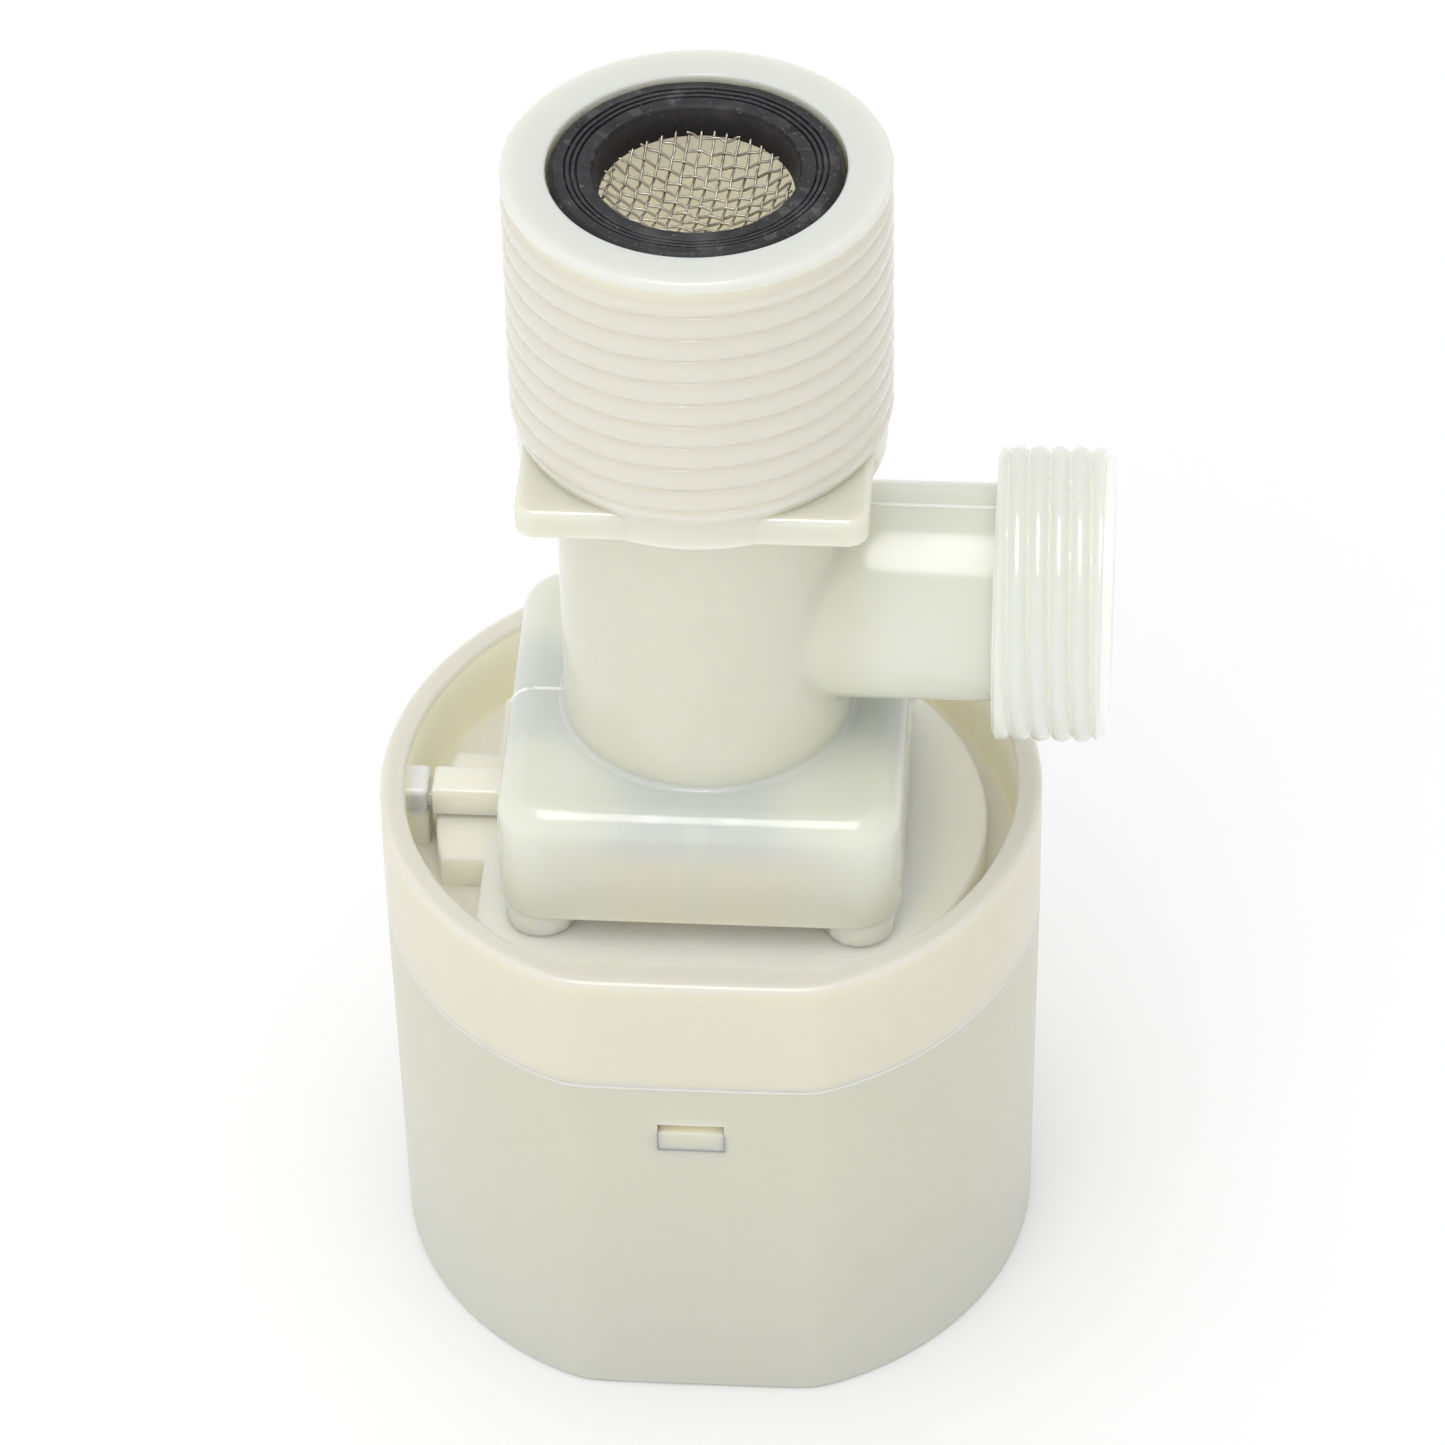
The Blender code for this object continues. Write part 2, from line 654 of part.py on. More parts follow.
def cut_cover_holes(cover):
    """Spring well, screw holes, nozzle seat, needle hole and hinge bore of the cover."""
    well_bore = rod("well_bore", WELL_BORE_R, (0, 0, WELL_FLOOR_Z), 4 * MM, segments=24)
    needle_hole = rod("needle_hole", 0.8 * MM, (0, 0, WELL_FLOOR_Z - 0.6 * MM), 1 * MM, segments=10)
    nozzle_hole = rod("nozzle_hole", 1.9 * MM, (NOZZLE_X, 0, 48 * MM), 4 * MM, segments=16)
    nozzle_seat = rod("nozzle_seat", 3.1 * MM, (NOZZLE_X, 0, 50.3 * MM), 2 * MM, segments=16)
    hinge_bore = rod("hinge_bore", PIN_HOLE_R, (HINGE_X, -7 * MM, HINGE_Z), 14 * MM, "Y", 16)
    cut(cover, well_bore, needle_hole, nozzle_hole, nozzle_seat, hinge_bore)
    for number, (x, y) in enumerate(corners(SCREW_X, SCREW_Y), 1):
        cut(cover,
            rod(f"cover_screw_hole_{number}", 1.4 * MM, (x, y, 44 * MM), 13 * MM, segments=12),
            rod(f"cover_head_hole_{number}", 2.3 * MM, (x, y, 44 * MM), 4.7 * MM, segments=16))


def make_pilot_nozzle():
    """Flanged nozzle whose small bore empties the chamber under the diaphragm."""
    bore_r = 0.6 * MM
    nozzle = turned("pilot_nozzle", [
        (bore_r, NOZZLE_TIP_Z),
        (1.1 * MM, NOZZLE_TIP_Z),
        (1.6 * MM, NOZZLE_TIP_Z + 1 * MM),
        (1.6 * MM, 50.6 * MM),
        (2.8 * MM, 50.6 * MM),
        (2.8 * MM, COVER_TOP_Z - 0.1 * MM),
        (bore_r, COVER_TOP_Z - 0.1 * MM),
    ], 16)
    nozzle.location.x = NOZZLE_X
    finish(nozzle, BRASS, 0.3, 1.0)


def make_cover_screws():
    """Four screws up through the cover's bosses, with a socket in each head."""
    head_r = 2.0 * MM
    shank_r = 1.1 * MM
    head_base = 47.0 * MM
    head_top = 48.4 * MM
    profile = [
        (0, head_base + 0.8 * MM),
        (0.8 * MM, head_base + 0.6 * MM),
        (0.9 * MM, head_base),
        (head_r - 0.3 * MM, head_base),
        (head_r, head_base + 0.4 * MM),
        (head_r, head_top),
        (shank_r, head_top),
        (shank_r, 57.8 * MM),
        (0, 58.6 * MM),
    ]
    for number, (x, y) in enumerate(corners(SCREW_X, SCREW_Y), 1):
        screw = turned(f"cover_screw_{number}", profile, 12)
        screw.location = (x, y, 0)
        finish(screw, STEEL, 0.25, 1.0)


def at_hinge(obj):
    """Put a piece's origin on the lever's hinge axis, leaving its shape where it is."""
    hinge = Vector((HINGE_X, 0, HINGE_Z))
    obj.data.transform(Matrix.Translation(-hinge))
    obj.location = hinge


def make_lever_pin():
    """Steel pin through the hinge ears and the lever."""
    half_length = 5.9 * MM
    pin = rod("lever_pin", PIN_R, (HINGE_X, -half_length, HINGE_Z), 2 * half_length, "Y", 16)
    at_hinge(pin)
    finish(pin, STEEL, 0.25, 1.0)


def make_pilot_lever():
    """Lever from the hinge, under the nozzle and out to the barrel's wall."""
    boss_r = 1.9 * MM
    bar_low = HINGE_Z - 1.2 * MM
    bar_top = HINGE_Z + 1.0 * MM
    inner = [(-12.6 * MM, bar_low)]
    inner += [(HINGE_X - boss_r, bar_low)]
    inner += arc_points((HINGE_X, HINGE_Z), boss_r, 200, 510, 16)
    inner += [(HINGE_X - boss_r, bar_top), (-12.6 * MM, bar_top)]
    lever = side_plate("pilot_lever", inner, -LEVER_HALF_WIDTH, LEVER_HALF_WIDTH)
    neck_top = CAP_BASE_Z - 0.4 * MM
    arm = side_plate("lever_arm_shape", [
        (-11.8 * MM, bar_low + 0.2 * MM),
        (-11.8 * MM, bar_top - 0.2 * MM),
        (-13.0 * MM, neck_top),
        (-18.6 * MM, neck_top),
        (-18.6 * MM, ARM_TOP_Z),
        (ARM_END_X, ARM_TOP_Z),
        (ARM_END_X, ARM_BASE_Z),
        (-14.5 * MM, ARM_BASE_Z),
        (-14.5 * MM, bar_low + 0.2 * MM),
    ], -ARM_HALF_WIDTH, ARM_HALF_WIDTH)
    tongue = block("lever_tongue_shape", (-27.0 * MM, -1.2 * MM, 47.3 * MM),
                   (ARM_END_X + 1 * MM, 1.2 * MM, 48.7 * MM))
    join(lever, arm, tongue)
    cut(lever,
        rod("lever_bore", PIN_HOLE_R, (HINGE_X, -7 * MM, HINGE_Z), 14 * MM, "Y", 16),
        rod("plug_pocket", 2.3 * MM, (NOZZLE_X, 0, 44.9 * MM), 3 * MM, segments=16))
    for obj in (lever, arm, tongue, bpy.data.objects["lever_bore"], bpy.data.objects["plug_pocket"]):
        at_hinge(obj)
    finish(lever, NYLON_WARM, 0.3)


def make_pilot_plug():
    """Rubber plug in the lever that shuts the nozzle."""
    plug = rod("pilot_plug", 2.0 * MM, (NOZZLE_X, 0, 45.2 * MM), 1.4 * MM, segments=16)
    at_hinge(plug)
    finish(plug, RUBBER, 0.8)


def make_float_collar():
    """Upper half of the barrel: rim, basin, platform, wall boss and a spigot with two hooks."""
    edge = 0.4 * MM
    spigot_base = 29.8 * MM
    floor_base = BASIN_Z - 1.6 * MM
    collar = turned("float_collar", [
        (0, BASIN_Z),
        (BASIN_R, BASIN_Z, BASIN_FLAT),
        (BASIN_R, RIM_Z - edge, BASIN_FLAT),
        (BASIN_R + edge, RIM_Z, BASIN_FLAT + edge),
        (BARREL_R - edge, RIM_Z, BARREL_FLAT - edge),
        (BARREL_R, RIM_Z - edge, BARREL_FLAT),
        (BARREL_R, CUP_TOP_Z + GAP, BARREL_FLAT),
        (SPIGOT_R, CUP_TOP_Z + GAP, SPIGOT_FLAT),
        (SPIGOT_R, spigot_base, SPIGOT_FLAT),
        (SPIGOT_R - SPIGOT_WALL, spigot_base, SPIGOT_FLAT - SPIGOT_WALL),
        (SPIGOT_R - SPIGOT_WALL, floor_base, SPIGOT_FLAT - SPIGOT_WALL),
        (0, floor_base),
    ], 64)
    platform = rod("platform_shape", PLATFORM_R, (0, 0, floor_base + 0.2 * MM),
                   PLATFORM_Z - floor_base - 0.2 * MM, segments=44)
    for side in (-1, 1):
        reach = (side * 7.2 * MM, side * 18.0 * MM)
        cut(platform, block(f"edge_pocket_{side + 2}", (-26.0 * MM, min(reach), BASIN_Z - 0.1 * MM),
                            (-20.1 * MM, max(reach), PLATFORM_Z + 1 * MM)))
    wall_boss = rounded_box("wall_boss_shape", 1.3 * MM, 3.2 * MM, BASIN_Z - 0.5 * MM, ARM_TOP_Z,
                            0.6 * MM, centre_x=-27.0 * MM)
    join(collar, platform, wall_boss)
    for side in (-1, 1):
        join(collar, latch_hook(f"latch_hook_shape_{side + 2}", side))
    cut_collar_openings(collar, floor_base)
    finish(collar, NYLON_WARM, 0.4)


def latch_hook(name, side):
    """A ramped hook on the spigot's flat that snaps into the cup's window."""
    root = SPIGOT_FLAT - 0.3 * MM
    tip = BARREL_FLAT - 0.7 * MM
    hook = side_plate(name, [
        (root, 33.1 * MM),
        (tip, 33.1 * MM),
        (tip, 32.6 * MM),
        (tip - 0.9 * MM, 31.1 * MM),
        (root, 31.1 * MM),
    ], -2.65 * MM, 2.65 * MM)
    hook.data.transform(Matrix.Rotation(side * math.pi / 2, 4, "Z"))
    return hook


def cut_collar_openings(collar, floor_base):
    """Hollow under the platform, way for the lever, tongue pocket and slots for the legs."""
    under = rounded_box("platform_hollow", 19.6 * MM, 17.5 * MM, floor_base - 1 * MM,
                        PLATFORM_Z - 1.7 * MM, 10 * MM, centre_x=1 * MM)
    lever_way = rounded_box("lever_way", 12.45 * MM, 7 * MM, BASIN_Z, PLATFORM_Z + 1 * MM,
                            1.5 * MM, centre_x=-2.45 * MM)
    tongue_pocket = block("tongue_pocket", (-27.4 * MM, -1.6 * MM, 47.0 * MM),
                          (-25.0 * MM, 1.6 * MM, 49.0 * MM))
    cut(collar, under, lever_way, tongue_pocket)
    for side in (-1, 1):
        slot_y = (side * 9.6 * MM, side * 12.4 * MM)
        cut(collar, block(f"leg_slot_{side + 2}", (-3.9 * MM, min(slot_y), BASIN_Z),
                          (3.9 * MM, max(slot_y), PLATFORM_Z + 1 * MM)))


def make_float_cup():
    """Lower half of the barrel, with a window for each latch hook."""
    edge = 0.4 * MM
    floor_z = 2.6 * MM
    cup = turned("float_cup", [
        (0, 0),
        (BARREL_BASE_R - edge, 0, BARREL_BASE_FLAT - edge),
        (BARREL_BASE_R, edge, BARREL_BASE_FLAT),
        (BARREL_R - 0.05 * MM, CUP_TOP_Z, BARREL_FLAT - 0.05 * MM),
        (CUP_BORE_R, CUP_TOP_Z, CUP_BORE_FLAT),
        (CUP_BORE_R - 0.3 * MM, floor_z, CUP_BORE_FLAT - 0.3 * MM),
        (0, floor_z),
    ], 64)
    for side in (-1, 1):
        reach = (side * 24 * MM, side * 30 * MM)
        cut(cup, block(f"latch_window_{side + 2}", (-2.95 * MM, min(reach), 30.8 * MM),
                       (2.95 * MM, max(reach), 34.0 * MM)))
    finish(cup, NYLON_CUP, 0.45)


def make_float_block():
    """Closed-cell foam that fills the barrel and keeps it afloat."""
    outer_r = 24.5 * MM
    flat = 22.7 * MM
    edge = 0.8 * MM
    foam = turned("float_block", [
        (0, 3.0 * MM),
        (outer_r - edge, 3.0 * MM, flat - edge),
        (outer_r, 3.0 * MM + edge, flat),
        (outer_r, 35.6 * MM - edge, flat),
        (outer_r - edge, 35.6 * MM, flat - edge),
        (0, 35.6 * MM),
    ], 40)
    finish(foam, FOAM, 0.9)


def main():
    """Build the whole valve."""
    clear_scene()
    make_valve_body()
    make_inlet_washer()
    make_inlet_strainer()
    make_diaphragm()
    make_diaphragm_core()
    make_backing_nut()
    make_closing_spring()
    make_bleed_needle()
    make_pilot_cover()
    make_pilot_nozzle()
    make_cover_screws()
    make_lever_pin()
    make_pilot_lever()
    make_pilot_plug()
    make_float_collar()
    make_float_cup()
    make_float_block()


main()
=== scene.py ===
"""Looks of a tank float valve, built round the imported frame.

The valve is a one-piece nylon tee with a square diaphragm cap, a ribbed washer and a
woven strainer in its inlet, a pilot cover and lever under the cap, and a float barrel
snapped together from a collar and a cup. All lengths are in metres, in the frame's axes:
the origin is under the barrel's centre, +Z runs up to the inlet and +X along the outlet.
"""

import logging
import math
from dataclasses import dataclass, field
from enum import Enum

import bmesh
import bpy
from mathutils import Matrix, Vector


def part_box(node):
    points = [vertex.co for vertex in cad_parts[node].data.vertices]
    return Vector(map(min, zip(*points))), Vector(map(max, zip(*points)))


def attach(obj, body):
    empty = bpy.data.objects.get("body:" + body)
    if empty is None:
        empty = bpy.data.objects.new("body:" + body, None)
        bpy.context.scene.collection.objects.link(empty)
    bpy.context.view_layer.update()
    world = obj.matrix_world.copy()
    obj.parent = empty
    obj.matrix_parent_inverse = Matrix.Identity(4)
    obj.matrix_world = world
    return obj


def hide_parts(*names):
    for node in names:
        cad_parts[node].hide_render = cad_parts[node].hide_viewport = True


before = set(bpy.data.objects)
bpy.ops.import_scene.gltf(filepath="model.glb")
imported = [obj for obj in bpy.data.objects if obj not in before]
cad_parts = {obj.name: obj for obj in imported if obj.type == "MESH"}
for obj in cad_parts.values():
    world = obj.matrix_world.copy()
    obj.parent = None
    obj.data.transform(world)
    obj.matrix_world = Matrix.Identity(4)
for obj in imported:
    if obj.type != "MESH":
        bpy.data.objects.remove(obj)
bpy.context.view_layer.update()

MM = 0.001
LOG = logging.getLogger("float_valve")

Colour = tuple[float, float, float]
Socket = bpy.types.NodeSocket


class Body(Enum):
    """The moving bodies of the frame."""

    VALVE = "valve"
    CORE = "core"
    LEVER = "lever"
    BARREL = "float_barrel"


class Slot(Enum):
    """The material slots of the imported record."""

    BODY_NYLON = "body_nylon"
    INNER_NYLON = "inner_nylon"
    COLLAR_NYLON = "collar_nylon"
    CUP_NYLON = "cup_nylon"
    RUBBER = "black_rubber"
    SILICONE = "red_silicone"
    WIRE = "stainless_wire"
    SCREW = "screw_steel"
    BRASS = "nozzle_brass"
    FOAM = "white_foam"


class Cut(Enum):
    """How a helper shape is used on a piece."""

    ADD = "UNION"
    REMOVE = "DIFFERENCE"


@dataclass(frozen=True)
class Corner:
    """One corner of a turned outline.

    Args:
        r: distance from the axis.
        z: height along the axis.
        fillet: rounding radius of the corner.
        inset: how far the two flats stand inside the circle, or None for a round ring.
    """

    r: float
    z: float
    fillet: float = 0.0
    inset: float | None = None


# ---------------------------------------------------------------------------------------
# Mesh work shared by the pieces
# ---------------------------------------------------------------------------------------


def rounded_outline(corners: list[Corner], steps: int = 5) -> list[Corner]:
    """Round the corners of a closed outline.

    Args:
        corners: the outline's corners in order.
        steps: faces across each rounding.

    Returns:
        The outline with an arc in place of each corner that has a fillet.
    """
    outline: list[Corner] = []
    for index, corner in enumerate(corners):
        before = corners[index - 1]
        after = corners[(index + 1) % len(corners)]
        here = Vector((corner.r, corner.z))
        back = Vector((before.r, before.z)) - here
        ahead = Vector((after.r, after.z)) - here
        if corner.fillet <= 0 or min(back.length, ahead.length) < 1e-9:
            outline.append(Corner(corner.r, corner.z, 0.0, corner.inset))
            continue
        half = back.angle(ahead) / 2
        room = 0.48 * min(back.length, ahead.length)
        reach = min(corner.fillet / math.tan(half), room)
        radius = reach * math.tan(half)
        start = here + back.normalized() * reach
        end = here + ahead.normalized() * reach
        bisector = (back.normalized() + ahead.normalized()).normalized()
        centre = here + bisector * (radius / math.sin(half))
        first = start - centre
        last = end - centre
        sweep = first.angle_signed(last)
        for step in range(steps + 1):
            turn = Matrix.Rotation(-sweep * step / steps, 2)
            point = centre + turn @ first
            outline.append(Corner(point.x, point.y, 0.0, corner.inset))
    return outline


def ring_points(radius: float, inset: float | None, sides: int) -> list[tuple[float, float]]:
    """Points round a ring, with soft-cornered flats at the front and back if it has them.

    Args:
        radius: the circle's radius.
        inset: how far the flats stand inside the circle, or None.
        sides: number of points.

    Returns:
        The points as (x, y).
    """
    softness = 0.25 * MM
    points = []
    for index in range(sides):
        angle = 2 * math.pi * (index + 0.5) / sides
        reach = radius
        if inset is not None and radius > inset:
            flat_reach = (radius - inset) / max(abs(math.sin(angle)), 1e-6)
            gap = (flat_reach - radius) / 2
            reach = (flat_reach + radius) / 2 - math.sqrt(gap * gap + softness * softness)
        points.append((reach * math.cos(angle), reach * math.sin(angle)))
    return points


def new_piece(name: str, points: list[tuple], faces: list[list[int]]) -> bpy.types.Object:
    """Make an object from points and faces, its faces turned outwards."""
    mesh = bpy.data.meshes.new(name)
    mesh.from_pydata(points, [], faces)
    piece = bpy.data.objects.new(name, mesh)
    bpy.context.scene.collection.objects.link(piece)
    tidy_mesh(piece)
    return piece


def tidy_mesh(piece: bpy.types.Object, sharp_deg: float = 35.0) -> None:
    """Merge doubles, turn faces outwards, and shade smooth but for sharp edges.

    Args:
        piece: the object to tidy.
        sharp_deg: edges that turn by more than this stay sharp.
    """
    bm = bmesh.new()
    bm.from_mesh(piece.data)
    bmesh.ops.remove_doubles(bm, verts=bm.verts, dist=1e-6)
    bmesh.ops.dissolve_degenerate(bm, edges=bm.edges, dist=1e-7)
    bmesh.ops.recalc_face_normals(bm, faces=bm.faces)
    bm.to_mesh(piece.data)
    bm.free()
    piece.data.shade_smooth()
    piece.data.set_sharp_from_angle(angle=math.radians(sharp_deg))


def lathe(name: str, corners: list[Corner], sides: int = 192, steps: int = 5) -> bpy.types.Object:
    """Turn a closed outline about Z.

    Args:
        name: the piece's name.
        corners: the outline, with fillets.
        sides: faces round the axis.
        steps: faces across each fillet.

    Returns:
        The closed turned piece.
    """
    points: list[tuple[float, float, float]] = []
    loops: list[list[int]] = []
    for corner in rounded_outline(corners, steps):
        if corner.r < 1e-9:
            loops.append([len(points)] * sides)
            points.append((0.0, 0.0, corner.z))
            continue
        ring = ring_points(corner.r, corner.inset, sides)
        loops.append(list(range(len(points), len(points) + sides)))
        points += [(x, y, corner.z) for x, y in ring]
    faces = []
    for lower, upper in zip(loops, loops[1:] + loops[:1]):
        if lower[0] == lower[1] and upper[0] == upper[1]:
            continue
        for index in range(sides):
            after = (index + 1) % sides
            face = [lower[index], lower[after], upper[after], upper[index]]
            faces.append(list(dict.fromkeys(face)))
    return new_piece(name, points, faces)


def slab(name: str, half: Vector, centre: Vector, corner_r: float, top_r: float = 0.0,
         base_r: float = 0.0, steps: int = 8) -> bpy.types.Object:
    """A block with round upright corners and rounded top and bottom edges.

    Args:
        name: the piece's name.
        half: half its size along x, y and z.
        centre: its middle.
        corner_r: radius of the upright corners.
        top_r: rounding of the top edge.
        base_r: rounding of the bottom edge.
        steps: faces across each rounding.

    Returns:
        The closed block.
    """
    levels: list[tuple[float, float]] = []
    for step in range(steps + 1 if base_r else 1):
        angle = 0.5 * math.pi * step / steps
        levels.append((-half.z + base_r * (1 - math.cos(angle)), base_r * (1 - math.sin(angle))))
    for step in range(steps + 1 if top_r else 1):
        angle = 0.5 * math.pi * step / steps
        levels.append((half.z - top_r * (1 - math.sin(angle)), top_r * (1 - math.cos(angle))))
    points: list[tuple[float, float, float]] = []
    per_level = 4 * (steps + 1)
    for height, inset in levels:
        radius = max(corner_r - inset, 0.02 * MM)
        for quarter in range(4):
            side_x = 1 if quarter in (0, 3) else -1
            side_y = 1 if quarter in (0, 1) else -1
            middle_x = side_x * (half.x - inset - radius)
            middle_y = side_y * (half.y - inset - radius)
            for step in range(steps + 1):
                angle = 0.5 * math.pi * (quarter + step / steps)
                points.append((centre.x + middle_x + radius * math.cos(angle),
                               centre.y + middle_y + radius * math.sin(angle),
                               centre.z + height))
    faces = [list(range(per_level)), list(range(len(points) - per_level, len(points)))]
    for level in range(len(levels) - 1):
        base = level * per_level
        for index in range(per_level):
            after = (index + 1) % per_level
            faces.append([base + index, base + after, base + per_level + after,
                          base + per_level + index])
    return new_piece(name, points, faces)


def box(name: str, low: tuple, high: tuple, edge_r: float = 0.0) -> bpy.types.Object:
    """A block from its lowest to its highest corner, with all its edges rounded."""
    low_v, high_v = Vector(low), Vector(high)
    half = (high_v - low_v) / 2
    return slab(name, half, (high_v + low_v) / 2, edge_r, edge_r, edge_r, steps=3)


def plate(name: str, corners: list[Corner], y_low: float, y_high: float,
          edge_r: float = 0.0) -> bpy.types.Object:
    """An outline of (x, z) corners made into a plate across y.

    Args:
        name: the piece's name.
        corners: the outline, x in each corner's r.
        y_low: the plate's front.
        y_high: the plate's back.
        edge_r: bevel along the plate's two outlines.

    Returns:
        The closed plate.
    """
    outline = rounded_outline(corners, 4)
    count = len(outline)
    points = [(c.r, y_low, c.z) for c in outline] + [(c.r, y_high, c.z) for c in outline]
    faces = [list(range(count)), list(range(count, 2 * count))]
    for index in range(count):
        after = (index + 1) % count
        faces.append([index, after, count + after, count + index])
    piece = new_piece(name, points, faces)
    if edge_r:
        bevel = piece.modifiers.new("edge", "BEVEL")
        bevel.width = edge_r
        bevel.segments = 3
        bevel.limit_method = "ANGLE"
        bevel.angle_limit = math.radians(50)
        settle(piece)
    return piece


def settle(piece: bpy.types.Object) -> None:
    """Turn a piece's modifiers into plain mesh."""
    graph = bpy.context.evaluated_depsgraph_get()
    mesh = bpy.data.meshes.new_from_object(piece.evaluated_get(graph))
    piece.modifiers.clear()
    piece.data = mesh


def combine(target: bpy.types.Object, how: Cut, helpers: list[bpy.types.Object]) -> None:
    """Add helper shapes to a piece, or remove them from it, and delete the helpers.

    Args:
        target: the piece that is changed.
        how: whether the helpers are added or removed.
        helpers: closed shapes, used in order.
    """
    for helper in helpers:
        modifier = target.modifiers.new(helper.name, "BOOLEAN")
        modifier.operation = how.value
        modifier.object = helper
        modifier.solver = "MANIFOLD"
        before = len(target.data.vertices)
        settle(target)
        if len(target.data.vertices) in (0, before):
            LOG.warning("%s: shape %s changed nothing", target.name, helper.name)
        bpy.data.objects.remove(helper, do_unlink=True)


def lay_along_x(piece: bpy.types.Object, height: float) -> bpy.types.Object:
    """Turn a piece made about Z to lie along +X at a height."""
    piece.data.transform(Matrix.Translation((0, 0, height)) @ Matrix.Rotation(math.pi / 2, 4, "Y"))
    return piece


# ---------------------------------------------------------------------------------------
# Geometry node trees
# ---------------------------------------------------------------------------------------


class GeometryTree:
    """A geometry node tree with named inputs, built node by node."""

    def __init__(self, name: str) -> None:
        """Start an empty tree with a geometry output."""
        self.tree = bpy.data.node_groups.new(name, "GeometryNodeTree")
        self.tree.interface.new_socket("Geometry", in_out="OUTPUT", socket_type="NodeSocketGeometry")
        self.inputs = self.tree.nodes.new("NodeGroupInput")
        self.output = self.tree.nodes.new("NodeGroupOutput")

    def number(self, name: str, kind: str = "NodeSocketFloat") -> Socket:
        """Add a named input and return its socket inside the tree."""
        self.tree.interface.new_socket(name, in_out="INPUT", socket_type=kind)
        return self.inputs.outputs[name]

    def node(self, kind: str, links: dict | None = None, **settings) -> bpy.types.Node:
        """Add a node.

        Args:
            kind: the node's type.
            links: input name or index to a socket or a plain value.
            settings: node properties.

        Returns:
            The new node.
        """
        made = self.tree.nodes.new(kind)
        for key, value in settings.items():
            setattr(made, key, value)
        for key, value in (links or {}).items():
            self.feed(made.inputs[key], value)
        return made

    def feed(self, socket: Socket, value: object) -> None:
        """Link a socket, or set its value."""
        if isinstance(value, bpy.types.NodeSocket):
            self.tree.links.new(value, socket)
        else:
            socket.default_value = value

    def math(self, operation: str, first: object, second: object = 0.0) -> Socket:
        """A math node's result."""
        return self.node("ShaderNodeMath", {0: first, 1: second}, operation=operation).outputs[0]

    def point(self, x: object, y: object, z: object) -> Socket:
        """A vector from three numbers."""
        return self.node("ShaderNodeCombineXYZ", {0: x, 1: y, 2: z}).outputs[0]

    def finish(self, geometry: Socket, material: Socket) -> None:
        """End the tree in Realize Instances and Set Material."""
        real = self.node("GeometryNodeRealizeInstances", {"Geometry": geometry})
        smooth = self.node("GeometryNodeSetShadeSmooth", {"Geometry": real.outputs[0]})
        dressed = self.node("GeometryNodeSetMaterial",
                            {"Geometry": smooth.outputs[0], "Material": material})
        self.tree.links.new(dressed.outputs[0], self.output.inputs[0])

    def grow(self, name: str, values: dict[str, object]) -> bpy.types.Object:
        """Run the tree with these inputs and return its result as a plain mesh piece.

        Args:
            name: the piece's name.
            values: each named input's value.

        Returns:
            The piece, with no modifier left on it.
        """
        piece = bpy.data.objects.new(name, bpy.data.meshes.new(name))
        bpy.context.scene.collection.objects.link(piece)
        modifier = piece.modifiers.new(name, "NODES")
        modifier.node_group = self.tree
        for item in self.tree.interface.items_tree:
            if item.in_out == "INPUT":
                modifier[item.identifier] = values[item.name]
        settle(piece)
        return piece


def thread_tree() -> GeometryTree:
    """A solid bar about Z whose side is a right-hand screw thread with round crests."""
    tree = GeometryTree("screw_thread")
    root = tree.number("Root Radius")
    crest = tree.number("Crest Radius")
    pitch = tree.number("Pitch")
    length = tree.number("Length")
    lead_in = tree.number("Lead In")
    around = tree.number("Around", "NodeSocketInt")
    rows = tree.number("Rows", "NodeSocketInt")
    material = tree.number("Material", "NodeSocketMaterial")
    grid = tree.node("GeometryNodeMeshGrid", {
        "Size X": 1.0, "Size Y": 1.0, "Vertices X": around, "Vertices Y": rows})
    place = tree.node("ShaderNodeSeparateXYZ", {0: grid.outputs["UV Map"]})
    turn, share = place.outputs[0], place.outputs[1]
    row_share = tree.math("DIVIDE", 1.0, tree.math("SUBTRACT", rows, 1.0))
    inner = tree.node("ShaderNodeMapRange", {
        "Value": share, "From Min": row_share, "From Max": tree.math("SUBTRACT", 1.0, row_share)})
    height = tree.math("MULTIPLY", inner.outputs[0], length)
    phase = tree.math("SUBTRACT", tree.math("DIVIDE", height, pitch), turn)
    lobe = tree.math("ABSOLUTE", tree.math("SINE", tree.math("MULTIPLY", phase, math.pi)))
    from_end = tree.math("MINIMUM", height, tree.math("SUBTRACT", length, height))
    fade = tree.node("ShaderNodeMapRange", {
        "Value": from_end, "From Min": 0.0, "From Max": lead_in}, interpolation_type="SMOOTHSTEP")
    rise = tree.math("MULTIPLY", tree.math("POWER", lobe, 0.42), fade.outputs[0])
    depth = tree.math("SUBTRACT", crest, root)
    radius = tree.math("ADD", root, tree.math("MULTIPLY", depth, rise))
    half_row = tree.math("MULTIPLY", row_share, 0.5)
    off_first = tree.math("GREATER_THAN", share, half_row)
    off_last = tree.math("LESS_THAN", share, tree.math("SUBTRACT", 1.0, half_row))
    radius = tree.math("MULTIPLY", radius, tree.math("MULTIPLY", off_first, off_last))
    angle = tree.math("MULTIPLY", turn, 2 * math.pi)
    where = tree.point(tree.math("MULTIPLY", radius, tree.math("COSINE", angle)),
                       tree.math("MULTIPLY", radius, tree.math("SINE", angle)), height)
    bent = tree.node("GeometryNodeSetPosition", {"Geometry": grid.outputs[0], "Position": where})
    closed = tree.node("GeometryNodeMergeByDistance", {"Geometry": bent.outputs[0], "Distance": 1e-6})
    tree.finish(closed.outputs[0], material)
    return tree


